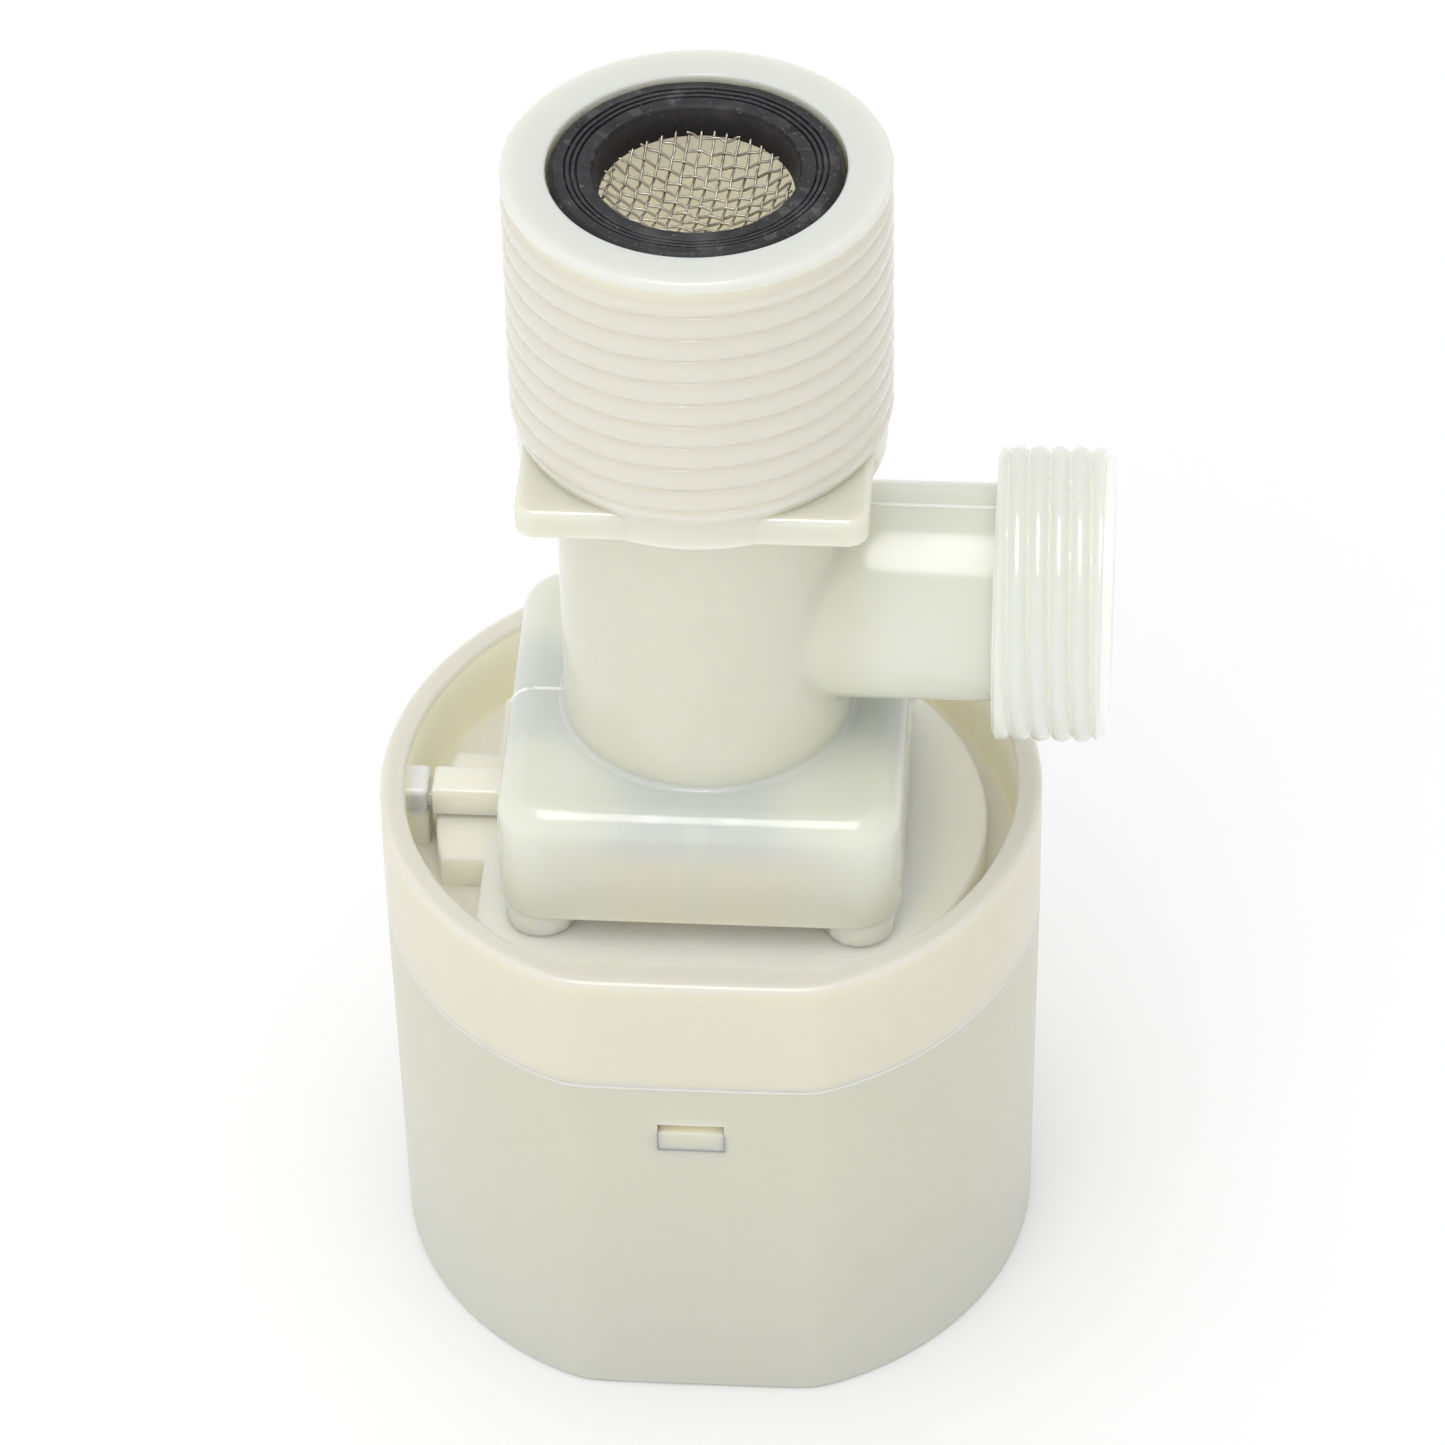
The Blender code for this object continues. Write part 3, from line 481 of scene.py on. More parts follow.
def weave_tree() -> GeometryTree:
    """A dished disc of plain-woven wire with uneven cut ends."""
    tree = GeometryTree("woven_screen")
    radius = tree.number("Radius")
    rim_height = tree.number("Rim Height")
    depth = tree.number("Depth")
    pitch = tree.number("Pitch")
    wire = tree.number("Wire Radius")
    fray = tree.number("Fray")
    count = tree.number("Wires", "NodeSocketInt")
    seed = tree.number("Seed", "NodeSocketInt")
    material = tree.number("Material", "NodeSocketMaterial")
    span = tree.math("MULTIPLY", tree.math("MULTIPLY", tree.math("SUBTRACT", count, 1.0), 0.5), pitch)
    line = tree.node("GeometryNodeCurvePrimitiveLine", {"Start": (0, -1, 0), "End": (0, 1, 0)})
    fine = tree.node("GeometryNodeResampleCurve", {"Curve": line.outputs[0], "Count": 90})
    starts = tree.node("GeometryNodeMeshLine", {
        "Count": count, "Start Location": tree.point(tree.math("MULTIPLY", span, -1.0), 0.0, 0.0),
        "Offset": tree.point(pitch, 0.0, 0.0)})
    rows = tree.node("GeometryNodeInstanceOnPoints", {
        "Points": starts.outputs[0], "Instance": fine.outputs[0]})
    real = tree.node("GeometryNodeRealizeInstances", {"Geometry": rows.outputs[0]})
    families = []
    for family, side in enumerate((1.0, -1.0)):
        place = tree.node("ShaderNodeSeparateXYZ", {0: tree.node("GeometryNodeInputPosition").outputs[0]})
        across, along_share = place.outputs[0], place.outputs[1]
        index = tree.math("ROUND", tree.math("DIVIDE", tree.math("ADD", across, span), pitch))
        end = tree.math("GREATER_THAN", along_share, 0.0)
        number = tree.math("ADD", tree.math("MULTIPLY", index, 2.0), end)
        loose = tree.node("FunctionNodeRandomValue", {
            "Min": 0.0, "Max": 1.0, "ID": number, "Seed": tree.math("ADD", seed, float(family))})
        loose_share = next(s for s in loose.outputs if s.enabled)
        chord = tree.math("SQRT", tree.math("MAXIMUM", tree.math("SUBTRACT", tree.math(
            "MULTIPLY", radius, radius), tree.math("MULTIPLY", across, across)), 0.0))
        reach = tree.math("ADD", chord, tree.math("MULTIPLY", loose_share, fray))
        wander = tree.node("ShaderNodeTexNoise", {
            "Vector": tree.point(tree.math("MULTIPLY", across, 300.0), along_share, float(family)),
            "Scale": 2.2, "Detail": 1.0}, noise_dimensions="3D")
        drift = tree.math("MULTIPLY", tree.math("SUBTRACT", wander.outputs[0], 0.5), 0.35)
        across = tree.math("ADD", across, tree.math("MULTIPLY", drift, pitch))
        along = tree.math("MULTIPLY", along_share, reach)
        squares = tree.math("ADD", tree.math("MULTIPLY", across, across),
                            tree.math("MULTIPLY", along, along))
        bowl = tree.math("SUBTRACT", 1.0, tree.math("DIVIDE", squares, tree.math("MULTIPLY", radius, radius)))
        sag = tree.math("MULTIPLY", tree.math("POWER", tree.math("MAXIMUM", bowl, 0.0), 0.8), depth)
        step = tree.math("ADD", tree.math("DIVIDE", tree.math("ADD", along, span), pitch), index)
        over = tree.math("MULTIPLY", tree.math("COSINE", tree.math("MULTIPLY", step, math.pi)),
                         tree.math("MULTIPLY", wire, side))
        height = tree.math("ADD", tree.math("SUBTRACT", rim_height, sag), over)
        where = tree.point(across, along, height) if family == 0 else tree.point(along, across, height)
        bent = tree.node("GeometryNodeSetPosition", {"Geometry": real.outputs[0], "Position": where})
        families.append(bent.outputs[0])
    both = tree.node("GeometryNodeJoinGeometry")
    for wires in families:
        tree.tree.links.new(wires, both.inputs[0])
    ring = tree.node("GeometryNodeCurvePrimitiveCircle", {"Resolution": 6, "Radius": wire})
    tubes = tree.node("GeometryNodeCurveToMesh", {
        "Curve": both.outputs[0], "Profile Curve": ring.outputs[0], "Fill Caps": True})
    tree.finish(tubes.outputs[0], material)
    return tree


def corner_tree() -> GeometryTree:
    """One part set at the four corners of a rectangle."""
    tree = GeometryTree("four_corners")
    part = tree.number("Part", "NodeSocketObject")
    width = tree.number("Width")
    depth = tree.number("Depth")
    material = tree.number("Material", "NodeSocketMaterial")
    grid = tree.node("GeometryNodeMeshGrid", {
        "Size X": width, "Size Y": depth, "Vertices X": 2, "Vertices Y": 2})
    source = tree.node("GeometryNodeObjectInfo", {"Object": part})
    placed = tree.node("GeometryNodeInstanceOnPoints", {
        "Points": grid.outputs[0], "Instance": source.outputs["Geometry"]})
    tree.finish(placed.outputs[0], material)
    return tree


# ---------------------------------------------------------------------------------------
# Finishes
# ---------------------------------------------------------------------------------------


class Surface:
    """One procedural material, built node by node on Object coordinates."""

    def __init__(self, name: str) -> None:
        """Start a material with a Principled shader and Object coordinates."""
        self.material = bpy.data.materials.new(name)
        self.material.use_nodes = True
        self.tree = self.material.node_tree
        self.shader = self.tree.nodes["Principled BSDF"]
        self.place = self.node("ShaderNodeTexCoord").outputs["Object"]

    def node(self, kind: str, links: dict | None = None, **settings) -> bpy.types.Node:
        """Add a node, with its properties set and its inputs linked or given values."""
        made = self.tree.nodes.new(kind)
        for key, value in settings.items():
            setattr(made, key, value)
        for key, value in (links or {}).items():
            self.feed(made.inputs[key], value)
        return made

    def feed(self, socket: Socket, value: object) -> None:
        """Link a socket, or set its value."""
        if isinstance(value, bpy.types.NodeSocket):
            self.tree.links.new(value, socket)
        else:
            socket.default_value = value

    def math(self, operation: str, first: object, second: object = 0.0) -> Socket:
        """A math node's result."""
        return self.node("ShaderNodeMath", {0: first, 1: second}, operation=operation).outputs[0]

    def axes(self) -> tuple[Socket, Socket, Socket]:
        """The x, y and z of the place being shaded."""
        split = self.node("ShaderNodeSeparateXYZ", {0: self.place})
        return split.outputs[0], split.outputs[1], split.outputs[2]

    def reach(self, first: object, second: object) -> Socket:
        """The distance from zero of a point with these two offsets."""
        return self.math("SQRT", self.math("ADD", self.math("MULTIPLY", first, first),
                                           self.math("MULTIPLY", second, second)))

    def both(self, first: object, second: object) -> Socket:
        """The share of the surface that is in both of two zones."""
        return self.math("MULTIPLY", first, second)

    def fade(self, value: object, start: float, end: float) -> Socket:
        """0 before start, 1 after end, and smooth between them."""
        made = self.node("ShaderNodeMapRange", {
            "Value": value, "From Min": min(start, end), "From Max": max(start, end),
            "To Min": 0.0 if start < end else 1.0, "To Max": 1.0 if start < end else 0.0},
            interpolation_type="SMOOTHSTEP")
        return made.outputs[0]

    def noise(self, scale: float, detail: float = 2.0, stretch: Colour = (1, 1, 1)) -> Socket:
        """Noise between 0 and 1 with features of about 1 / scale metres."""
        moved = self.node("ShaderNodeMapping", {"Vector": self.place, "Scale": stretch})
        made = self.node("ShaderNodeTexNoise", {
            "Vector": moved.outputs[0], "Scale": scale, "Detail": detail, "Roughness": 0.55})
        return made.outputs[0]

    def mix(self, share: object, first: object, second: object) -> Socket:
        """A blend of two colours."""
        made = self.node("ShaderNodeMix", data_type="RGBA")
        self.feed(made.inputs["Factor"], share)
        for key, value in (("A", first), ("B", second)):
            socket = next(s for s in made.inputs if s.name == key and s.type == "RGBA")
            self.feed(socket, value if isinstance(value, bpy.types.NodeSocket) else (*value, 1.0))
        return next(s for s in made.outputs if s.type == "RGBA")

    def bump(self, height: Socket, depth: float, strength: float = 1.0) -> None:
        """Raise the surface by a height from 0 to 1 times depth, in metres."""
        made = self.node("ShaderNodeBump", {
            "Height": height, "Distance": depth, "Strength": strength})
        self.tree.links.new(made.outputs[0], self.shader.inputs["Normal"])

    def paint_glow(self, zone: Socket, colour: Colour, strength: float) -> None:
        """Paint light onto one zone as emission, standing in for light that has come through the wall.

        Args:
            zone: how much of the light each place gets, from 0 to 1.
            colour: the light's colour.
            strength: its brightness, where 1 is the surround's white.
        """
        tint = self.mix(zone, (0.0, 0.0, 0.0), colour)
        self.tree.links.new(tint, self.shader.inputs["Emission Color"])
        self.constants({"Emission Strength": strength})

    def constants(self, values: dict[str, object]) -> None:
        """Set plain numbers and colours on the shader's own sockets."""
        for key, value in values.items():
            self.shader.inputs[key].default_value = value


@dataclass(frozen=True)
class MilkyNylon:
    """Natural nylon: light enters it, scatters and comes out again soft and creamy.

    Args:
        name: the material's name.
        colour: its usual colour.
        warm: its second colour, blended in by noise clouds.
        roughness: how blurred its gloss is.
        depth: how far light travels in it, in metres.
        grain: depth of its mould texture, in metres.
    """

    name: str
    colour: Colour
    warm: Colour
    roughness: float
    depth: float
    grain: float = 0.00002

    def surface(self) -> Surface:
        """The material's nodes, with its colour left for more mixing.

        Returns:
            The surface, its base colour already linked.
        """
        made = Surface(self.name)
        clouds = made.noise(70, 3.0)
        mottle = made.noise(620, 2.0)
        base = made.mix(made.fade(clouds, 0.35, 0.68), self.colour, self.warm)
        pale = tuple(min(1.0, c * 1.05) for c in self.colour)
        base = made.mix(made.math("MULTIPLY", made.fade(mottle, 0.5, 0.75), 0.25), base, pale)
        made.tree.links.new(base, made.shader.inputs["Base Color"])
        haze = made.math("MULTIPLY", made.noise(260, 3.0, (1, 1, 0.4)), 0.10)
        rough = made.math("ADD", haze, self.roughness - 0.05)
        made.tree.links.new(rough, made.shader.inputs["Roughness"])
        made.bump(made.noise(1500, 3.0), self.grain, 0.35)
        made.constants({
            "Subsurface Weight": 1.0, "Subsurface Radius": (1.0, 0.92, 0.74),
            "Subsurface Scale": self.depth, "IOR": 1.53})
        return made

    def build(self) -> bpy.types.Material:
        """The finished material."""
        return self.surface().material


@dataclass(frozen=True)
class TeeNylon(MilkyNylon):
    """The tee's nylon, tinted part by part, with light and shade painted on its grooves, bore and cap.

    Args:
        ring: colour of the inlet's end face.
        thread: colour of the inlet thread.
        groove_light: painted light down in the grooves, lifting their shade.
        flange: colour of the wrench flange.
        bore: painted light: a pale colour for the bore under the strainer, standing in for light through its wall.
        pipe: colour of the outlet pipe.
        collar: colour of the outlet collar.
        thin: painted shade: colour of the cap's thin wall over the dark diaphragm chamber.
        solid: painted light: colour over the screw bosses in the corners.
        low: colour of the skirt over the pilot cover.
        rib: colour over the rib in the middle of each long side.
        thread_haze: how much more blurred the threads' gloss is.
    """

    ring: Colour = (0.70, 0.71, 0.665)
    thread: Colour = (0.71, 0.695, 0.61)
    groove_light: Colour = (0.86, 0.845, 0.745)
    flange: Colour = (0.715, 0.715, 0.625)
    bore: Colour = (0.97, 0.94, 0.82)
    pipe: Colour = (0.735, 0.75, 0.67)
    collar: Colour = (0.735, 0.75, 0.69)
    thin: Colour = (0.64, 0.66, 0.63)
    solid: Colour = (0.74, 0.755, 0.67)
    low: Colour = (0.74, 0.725, 0.62)
    rib: Colour = (0.70, 0.72, 0.65)
    thread_haze: float = 0.04

    def build(self) -> bpy.types.Material:
        """The finished material."""
        made = self.surface()
        colour = made.shader.inputs["Base Color"].links[0].from_socket
        colour = self.inlet_tint(made, colour)
        colour = self.outlet_tint(made, colour)
        colour = self.cap_tint(made, colour)
        made.tree.links.new(colour, made.shader.inputs["Base Color"])
        x, y, z = made.axes()
        threads = made.both(made.fade(z, 93.0 * MM, 94.0 * MM), made.fade(z, 119.6 * MM, 118.9 * MM))
        threads = made.math("MAXIMUM", threads, made.fade(x, 25.3 * MM, 25.9 * MM))
        rough = made.shader.inputs["Roughness"].links[0].from_socket
        rough = made.math("ADD", rough, made.math("MULTIPLY", threads, self.thread_haze))
        made.tree.links.new(rough, made.shader.inputs["Roughness"])
        return made.material

    def inlet_tint(self, made: Surface, colour: Socket) -> Socket:
        """Tint the inlet's thread, end face and bore.

        Args:
            made: the material being built.
            colour: the colour so far.

        Returns:
            The colour with the inlet's tints.
        """
        x, y, z = made.axes()
        radius = made.reach(x, y)
        flange = made.both(made.fade(z, 90.6 * MM, 91.4 * MM), made.fade(radius, 12.9 * MM, 14.5 * MM))
        colour = made.mix(flange, colour, self.flange)
        over_flange = made.fade(z, 93.6 * MM, 95.0 * MM)
        colour = made.mix(over_flange, colour, self.thread)
        # Painted light: the inlet thread's grooves are made paler to lift their shade.
        groove_light = made.both(over_flange, made.fade(radius, 16.5 * MM, 16.05 * MM))
        colour = made.mix(made.math("MULTIPLY", groove_light, 0.8), colour, self.groove_light)
        colour = made.mix(made.fade(z, 118.5 * MM, 119.4 * MM), colour, self.ring)
        # Painted light: the bore under the strainer is made pale and glows, standing in for light through its wall.
        bore = made.both(made.fade(z, 86 * MM, 92 * MM), made.fade(radius, 12.3 * MM, 11.9 * MM))
        made.paint_glow(bore, (1.0, 0.94, 0.80), 0.115)
        return made.mix(bore, colour, self.bore)

    def outlet_tint(self, made: Surface, colour: Socket) -> Socket:
        """Tint the outlet's pipe and its threaded collar.

        Args:
            made: the material being built.
            colour: the colour so far.

        Returns:
            The colour with the outlet's tints.
        """
        x, y, z = made.axes()
        radius = made.reach(y, made.math("SUBTRACT", z, 73.86 * MM))
        near_pipe = made.fade(radius, 14.0 * MM, 13.5 * MM)
        along = made.fade(x, 12.0 * MM, 18.0 * MM)
        colour = made.mix(made.both(near_pipe, along), colour, self.pipe)
        on_collar = made.both(near_pipe, made.fade(x, 25.3 * MM, 25.9 * MM))
        colour = made.mix(on_collar, colour, self.collar)
        # Painted light: the outlet collar's grooves are made paler to lift their shade.
        groove_light = made.both(on_collar, made.fade(radius, 12.9 * MM, 12.2 * MM))
        colour = made.mix(groove_light, colour, (0.96, 0.97, 0.92))
        # Painted highlight: a bright line along the parting flash on top of the pipe; the flash itself is real
        # geometry.
        seam_light = made.both(made.both(near_pipe, along), made.fade(made.math("ABSOLUTE", y), 0.22 * MM, 0.1 * MM))
        seam_light = made.both(seam_light, made.fade(x, 25.6 * MM, 25.4 * MM))
        return made.mix(seam_light, colour, (0.97, 0.97, 0.90))

    def cap_tint(self, made: Surface, colour: Socket) -> Socket:
        """Paint onto the cap the light and shade that its thin wall shows through.

        Args:
            made: the material being built.
            colour: the colour so far.

        Returns:
            The colour with the cap's tints.
        """
        x, y, z = made.axes()
        # Painted light over the corner bosses, painted shade on the thin wall over the chamber.
        boss = made.reach(made.math("SUBTRACT", made.math("ABSOLUTE", x), 14.2 * MM),
                          made.math("SUBTRACT", made.math("ABSOLUTE", y), 13.6 * MM))
        cloud = made.math("MULTIPLY", made.math("SUBTRACT", made.noise(170, 3.0), 0.5), 4.5 * MM)
        corner = made.fade(made.math("ADD", boss, cloud), 10.4 * MM, 3.6 * MM)
        wall = made.mix(made.fade(z, 54.6 * MM, 59.4 * MM), self.low, self.thin)
        in_rib = made.both(made.fade(made.math("ABSOLUTE", x), 1.4 * MM, 0.5 * MM),
                           made.fade(made.math("ABSOLUTE", y), 16.5 * MM, 17.2 * MM))
        wall = made.mix(made.math("MULTIPLY", in_rib, 0.45), wall, self.rib)
        cap = made.mix(corner, wall, self.solid)
        # Painted highlight: a bright broken line along the parting flash over the cap; the flash itself is real
        # geometry.
        seam_light = made.both(made.fade(made.math("ABSOLUTE", y), 0.26 * MM, 0.12 * MM),
                         made.fade(x, -12.6 * MM, -13.1 * MM))
        seam_light = made.both(seam_light, made.fade(made.noise(900), 0.36, 0.52))
        cap = made.mix(seam_light, cap, (0.97, 0.97, 0.93))
        radius = made.reach(x, y)
        # Painted highlight: a thin bright line where the tube meets the cap's top.
        foot = made.both(made.fade(radius, 13.55 * MM, 13.35 * MM), made.fade(z, 61.35 * MM, 61.15 * MM))
        colour = made.mix(made.fade(z, 61.5 * MM, 60.95 * MM), colour, cap)
        return made.mix(made.math("MULTIPLY", foot, 0.38), colour, (0.95, 0.95, 0.90))


@dataclass(frozen=True)
class BarrelNylon(MilkyNylon):
    """The barrel's nylon, with painted light in the basin and a little painted shade towards its foot.

    Args:
        inside: painted light: a paler colour on the basin's floor and walls, lifting their shade.
        rim: painted shade: a darker colour on the rim's top, which faces the light.
        foot: painted shade: a darker colour at the foot of the cup.
        lit: painted light on the basin's floor under the cap's skirt, lifting the skirt's shadow.
        edge: painted light: a pale colour on the thin edges where the two halves meet, lifting the joint's shade.
        latch: colour of the latch hooks and the windows' edges.
        slit_light: painted light: a bright colour behind the slit over each hook, lifting its shade.
    """

    inside: Colour = (0.925, 0.90, 0.79)
    rim: Colour = (0.69, 0.68, 0.61)
    foot: Colour = (0.60, 0.605, 0.53)
    lit: Colour = (0.985, 0.96, 0.84)
    edge: Colour = (0.88, 0.87, 0.80)
    latch: Colour = (0.64, 0.635, 0.53)
    slit_light: Colour = (0.93, 0.87, 0.70)

    def build(self) -> bpy.types.Material:
        """The finished material."""
        made = self.surface()
        colour = made.shader.inputs["Base Color"].links[0].from_socket
        x, y, z = made.axes()
        # Painted shade: darker towards the foot, where less light reaches.
        foot = made.fade(made.math("ADD", z, made.math("MULTIPLY", made.noise(60), 6 * MM)), 36 * MM, 4 * MM)
        colour = made.mix(foot, colour, self.foot)
        # Painted shade: the rim's top is darkened where it faces the light.
        colour = made.mix(made.fade(z, 50.2 * MM, 50.8 * MM), colour, self.rim)
        # Painted light: the basin's floor and walls are made paler to lift their shade.
        basin_light_zone = made.both(made.fade(made.reach(x, y), 28.9 * MM, 28.7 * MM),
                           made.fade(made.math("ABSOLUTE", y), 25.4 * MM, 25.2 * MM))
        basin_light_zone = made.both(basin_light_zone, made.both(made.fade(z, 41.5 * MM, 42.0 * MM), made.fade(z, 50.7 * MM, 50.1 * MM)))
        # Painted light: the joint between the two halves is made pale, lifting its shade.
        away = made.math("ABSOLUTE", made.math("SUBTRACT", z, 38.55 * MM))
        seam_light = made.fade(away, 0.22 * MM, 0.08 * MM)
        colour = made.mix(seam_light, colour, self.edge)
        latch = made.both(made.both(made.fade(made.math("ABSOLUTE", x), 3.4 * MM, 3.3 * MM), made.fade(z, 34.3 * MM, 34.1 * MM)),
                          made.both(made.fade(z, 30.5 * MM, 30.6 * MM), made.fade(made.math("ABSOLUTE", y), 23.0 * MM, 23.5 * MM)))
        colour = made.mix(latch, colour, self.latch)
        # Painted light: the recess behind each slit is made bright, lifting its shade.
        slit_light = made.both(made.both(latch, made.fade(z, 32.8 * MM, 32.9 * MM)),
                         made.fade(made.math("ABSOLUTE", y), 27.75 * MM, 27.6 * MM))
        colour = made.mix(slit_light, colour, self.slit_light)
        # Painted light: the joint also glows.
        made.paint_glow(seam_light, (1.0, 0.98, 0.92), 0.075)
        colour = made.mix(basin_light_zone, colour, self.inside)
        # Painted light: the floor under the cap's skirt is made paler to lift its shadow.
        under_skirt_light = made.both(made.fade(made.math("ABSOLUTE", x), 20.5 * MM, 18.5 * MM),
                              made.fade(made.math("ABSOLUTE", y), 21.5 * MM, 19.0 * MM))
        colour = made.mix(made.both(basin_light_zone, under_skirt_light), colour, self.lit)
        made.constants({"Specular IOR Level": 0.22})
        made.tree.links.new(colour, made.shader.inputs["Base Color"])
        return made.material


@dataclass(frozen=True)
class DustyRubber:
    """Black moulded rubber with pale dust on its edges."""

    name: str
    dust_amount: float

    def build(self) -> bpy.types.Material:
        """The finished material."""
        made = Surface(self.name)
        patches = made.fade(made.noise(260, 4.0), 0.50, 0.72)
        grains = made.fade(made.noise(2600, 2.0), 0.62, 0.70)
        edge = made.node("ShaderNodeNewGeometry").outputs["Pointiness"]
        worn = made.fade(edge, 0.502, 0.54)
        dust = made.math("ADD", made.math("MULTIPLY", patches, 0.22), made.math("MULTIPLY", worn, 0.30))
        dust = made.math("ADD", dust, made.math("MULTIPLY", grains, 0.40))
        x, y, z = made.axes()
        # Little dust on the hole's wall; this also serves as painted shade, keeping the wall near black.
        dust_and_hole_shade = made.math("ADD", 0.12, made.math("MULTIPLY", made.fade(made.reach(x, y), 8.4 * MM, 9.0 * MM), 0.88))
        dust = made.math("MULTIPLY", dust, dust_and_hole_shade)
        dust = made.math("MINIMUM", made.math("MULTIPLY", dust, self.dust_amount), 0.9)
        colour = made.mix(dust, (0.010, 0.009, 0.011), (0.17, 0.165, 0.17))
        made.tree.links.new(colour, made.shader.inputs["Base Color"])
        rough = made.math("ADD", made.math("MULTIPLY", dust, 0.3), 0.55)
        made.tree.links.new(rough, made.shader.inputs["Roughness"])
        made.bump(made.noise(1800, 4.0), 0.00005, 0.7)
        made.constants({"IOR": 1.5, "Specular IOR Level": 0.17})
        return made.material


@dataclass(frozen=True)
class DrawnMetal:
    """Bright drawn or turned metal with faint stains."""

    name: str
    colour: Colour
    stain: Colour
    roughness: float

    def build(self) -> bpy.types.Material:
        """The finished material."""
        made = Surface(self.name)
        patches = made.fade(made.noise(420, 3.0), 0.45, 0.75)
        colour = made.mix(patches, self.colour, self.stain)
        made.tree.links.new(colour, made.shader.inputs["Base Color"])
        scratches = made.math("MULTIPLY", made.noise(900, 2.0, (1, 1, 4)), 0.2)
        made.tree.links.new(made.math("ADD", scratches, self.roughness - 0.1),
                            made.shader.inputs["Roughness"])
        made.bump(made.noise(3000, 2.0), 0.00001, 0.3)
        made.constants({"Metallic": 1.0})
        return made.material


@dataclass(frozen=True)
class SoftSolid:
    """Matt silicone or closed-cell foam."""

    name: str
    colour: Colour
    shade: Colour
    cell_scale: float
    cell_depth: float

    def build(self) -> bpy.types.Material:
        """The finished material."""
        made = Surface(self.name)
        cells = made.node("ShaderNodeTexVoronoi", {"Vector": made.place, "Scale": self.cell_scale})
        colour = made.mix(made.fade(made.noise(90, 3.0), 0.35, 0.7), self.colour, self.shade)
        made.tree.links.new(colour, made.shader.inputs["Base Color"])
        rough = made.math("ADD", made.math("MULTIPLY", made.noise(300), 0.2), 0.65)
        made.tree.links.new(rough, made.shader.inputs["Roughness"])
        made.bump(cells.outputs["Distance"], self.cell_depth, 0.8)
        return made.material


class Palette:
    """Every finish of the valve, by material slot."""

    def __init__(self) -> None:
        """Build the materials once."""
        finishes = {
            Slot.BODY_NYLON: TeeNylon("body_nylon", (0.695, 0.70, 0.59), (0.68, 0.685, 0.575), 0.10, 2.4 * MM),
            Slot.INNER_NYLON: MilkyNylon("inner_nylon", (0.89, 0.87, 0.77), (0.87, 0.85, 0.74), 0.12, 2.4 * MM),
            Slot.COLLAR_NYLON: BarrelNylon("collar_nylon", (0.73, 0.705, 0.585), (0.73, 0.70, 0.58), 0.34,
                                           2.2 * MM, foot=(0.73, 0.70, 0.585)),
            Slot.CUP_NYLON: BarrelNylon("cup_nylon", (0.635, 0.635, 0.53), (0.635, 0.625, 0.52), 0.36, 2.4 * MM),
            Slot.RUBBER: DustyRubber("black_rubber", 1.0),
            Slot.SILICONE: SoftSolid("red_silicone", (0.50, 0.24, 0.15), (0.44, 0.21, 0.14), 1500, 0.00002),
            Slot.WIRE: DrawnMetal("stainless_wire", (0.50, 0.47, 0.40), (0.30, 0.275, 0.215), 0.22),
            Slot.SCREW: DrawnMetal("screw_steel", (0.70, 0.69, 0.66), (0.56, 0.55, 0.51), 0.25),
            Slot.BRASS: DrawnMetal("nozzle_brass", (0.74, 0.56, 0.27), (0.60, 0.44, 0.20), 0.25),
            Slot.FOAM: SoftSolid("white_foam", (0.84, 0.84, 0.82), (0.80, 0.80, 0.77), 900, 0.0001),
        }
        self.materials = {slot: finish.build() for slot, finish in finishes.items()}

    def dress(self, piece: bpy.types.Object, slot: Slot) -> None:
        """Give a piece the one material of a slot."""
        piece.data.materials.clear()
        piece.data.materials.append(self.materials[slot])


def seat(piece: bpy.types.Object, palette: Palette, slot: Slot, body: Body, *nodes: str) -> None:
    """Dress a finished piece, set it on its body and let it stand for its frame nodes.

    Args:
        piece: the finished piece, its place in its mesh.
        palette: the valve's finishes.
        slot: the piece's material slot.
        body: the body that it rides on.
        nodes: the frame nodes that it stands for.
    """
    palette.dress(piece, slot)
    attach(piece, body.value)
    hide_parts(*nodes)
    faces = sum(len(face.vertices) - 2 for face in piece.data.polygons)
    LOG.info("%s: %d triangles, rides on %s", piece.name, faces, body.value)


# ---------------------------------------------------------------------------------------
# Sub-assemblies
# ---------------------------------------------------------------------------------------


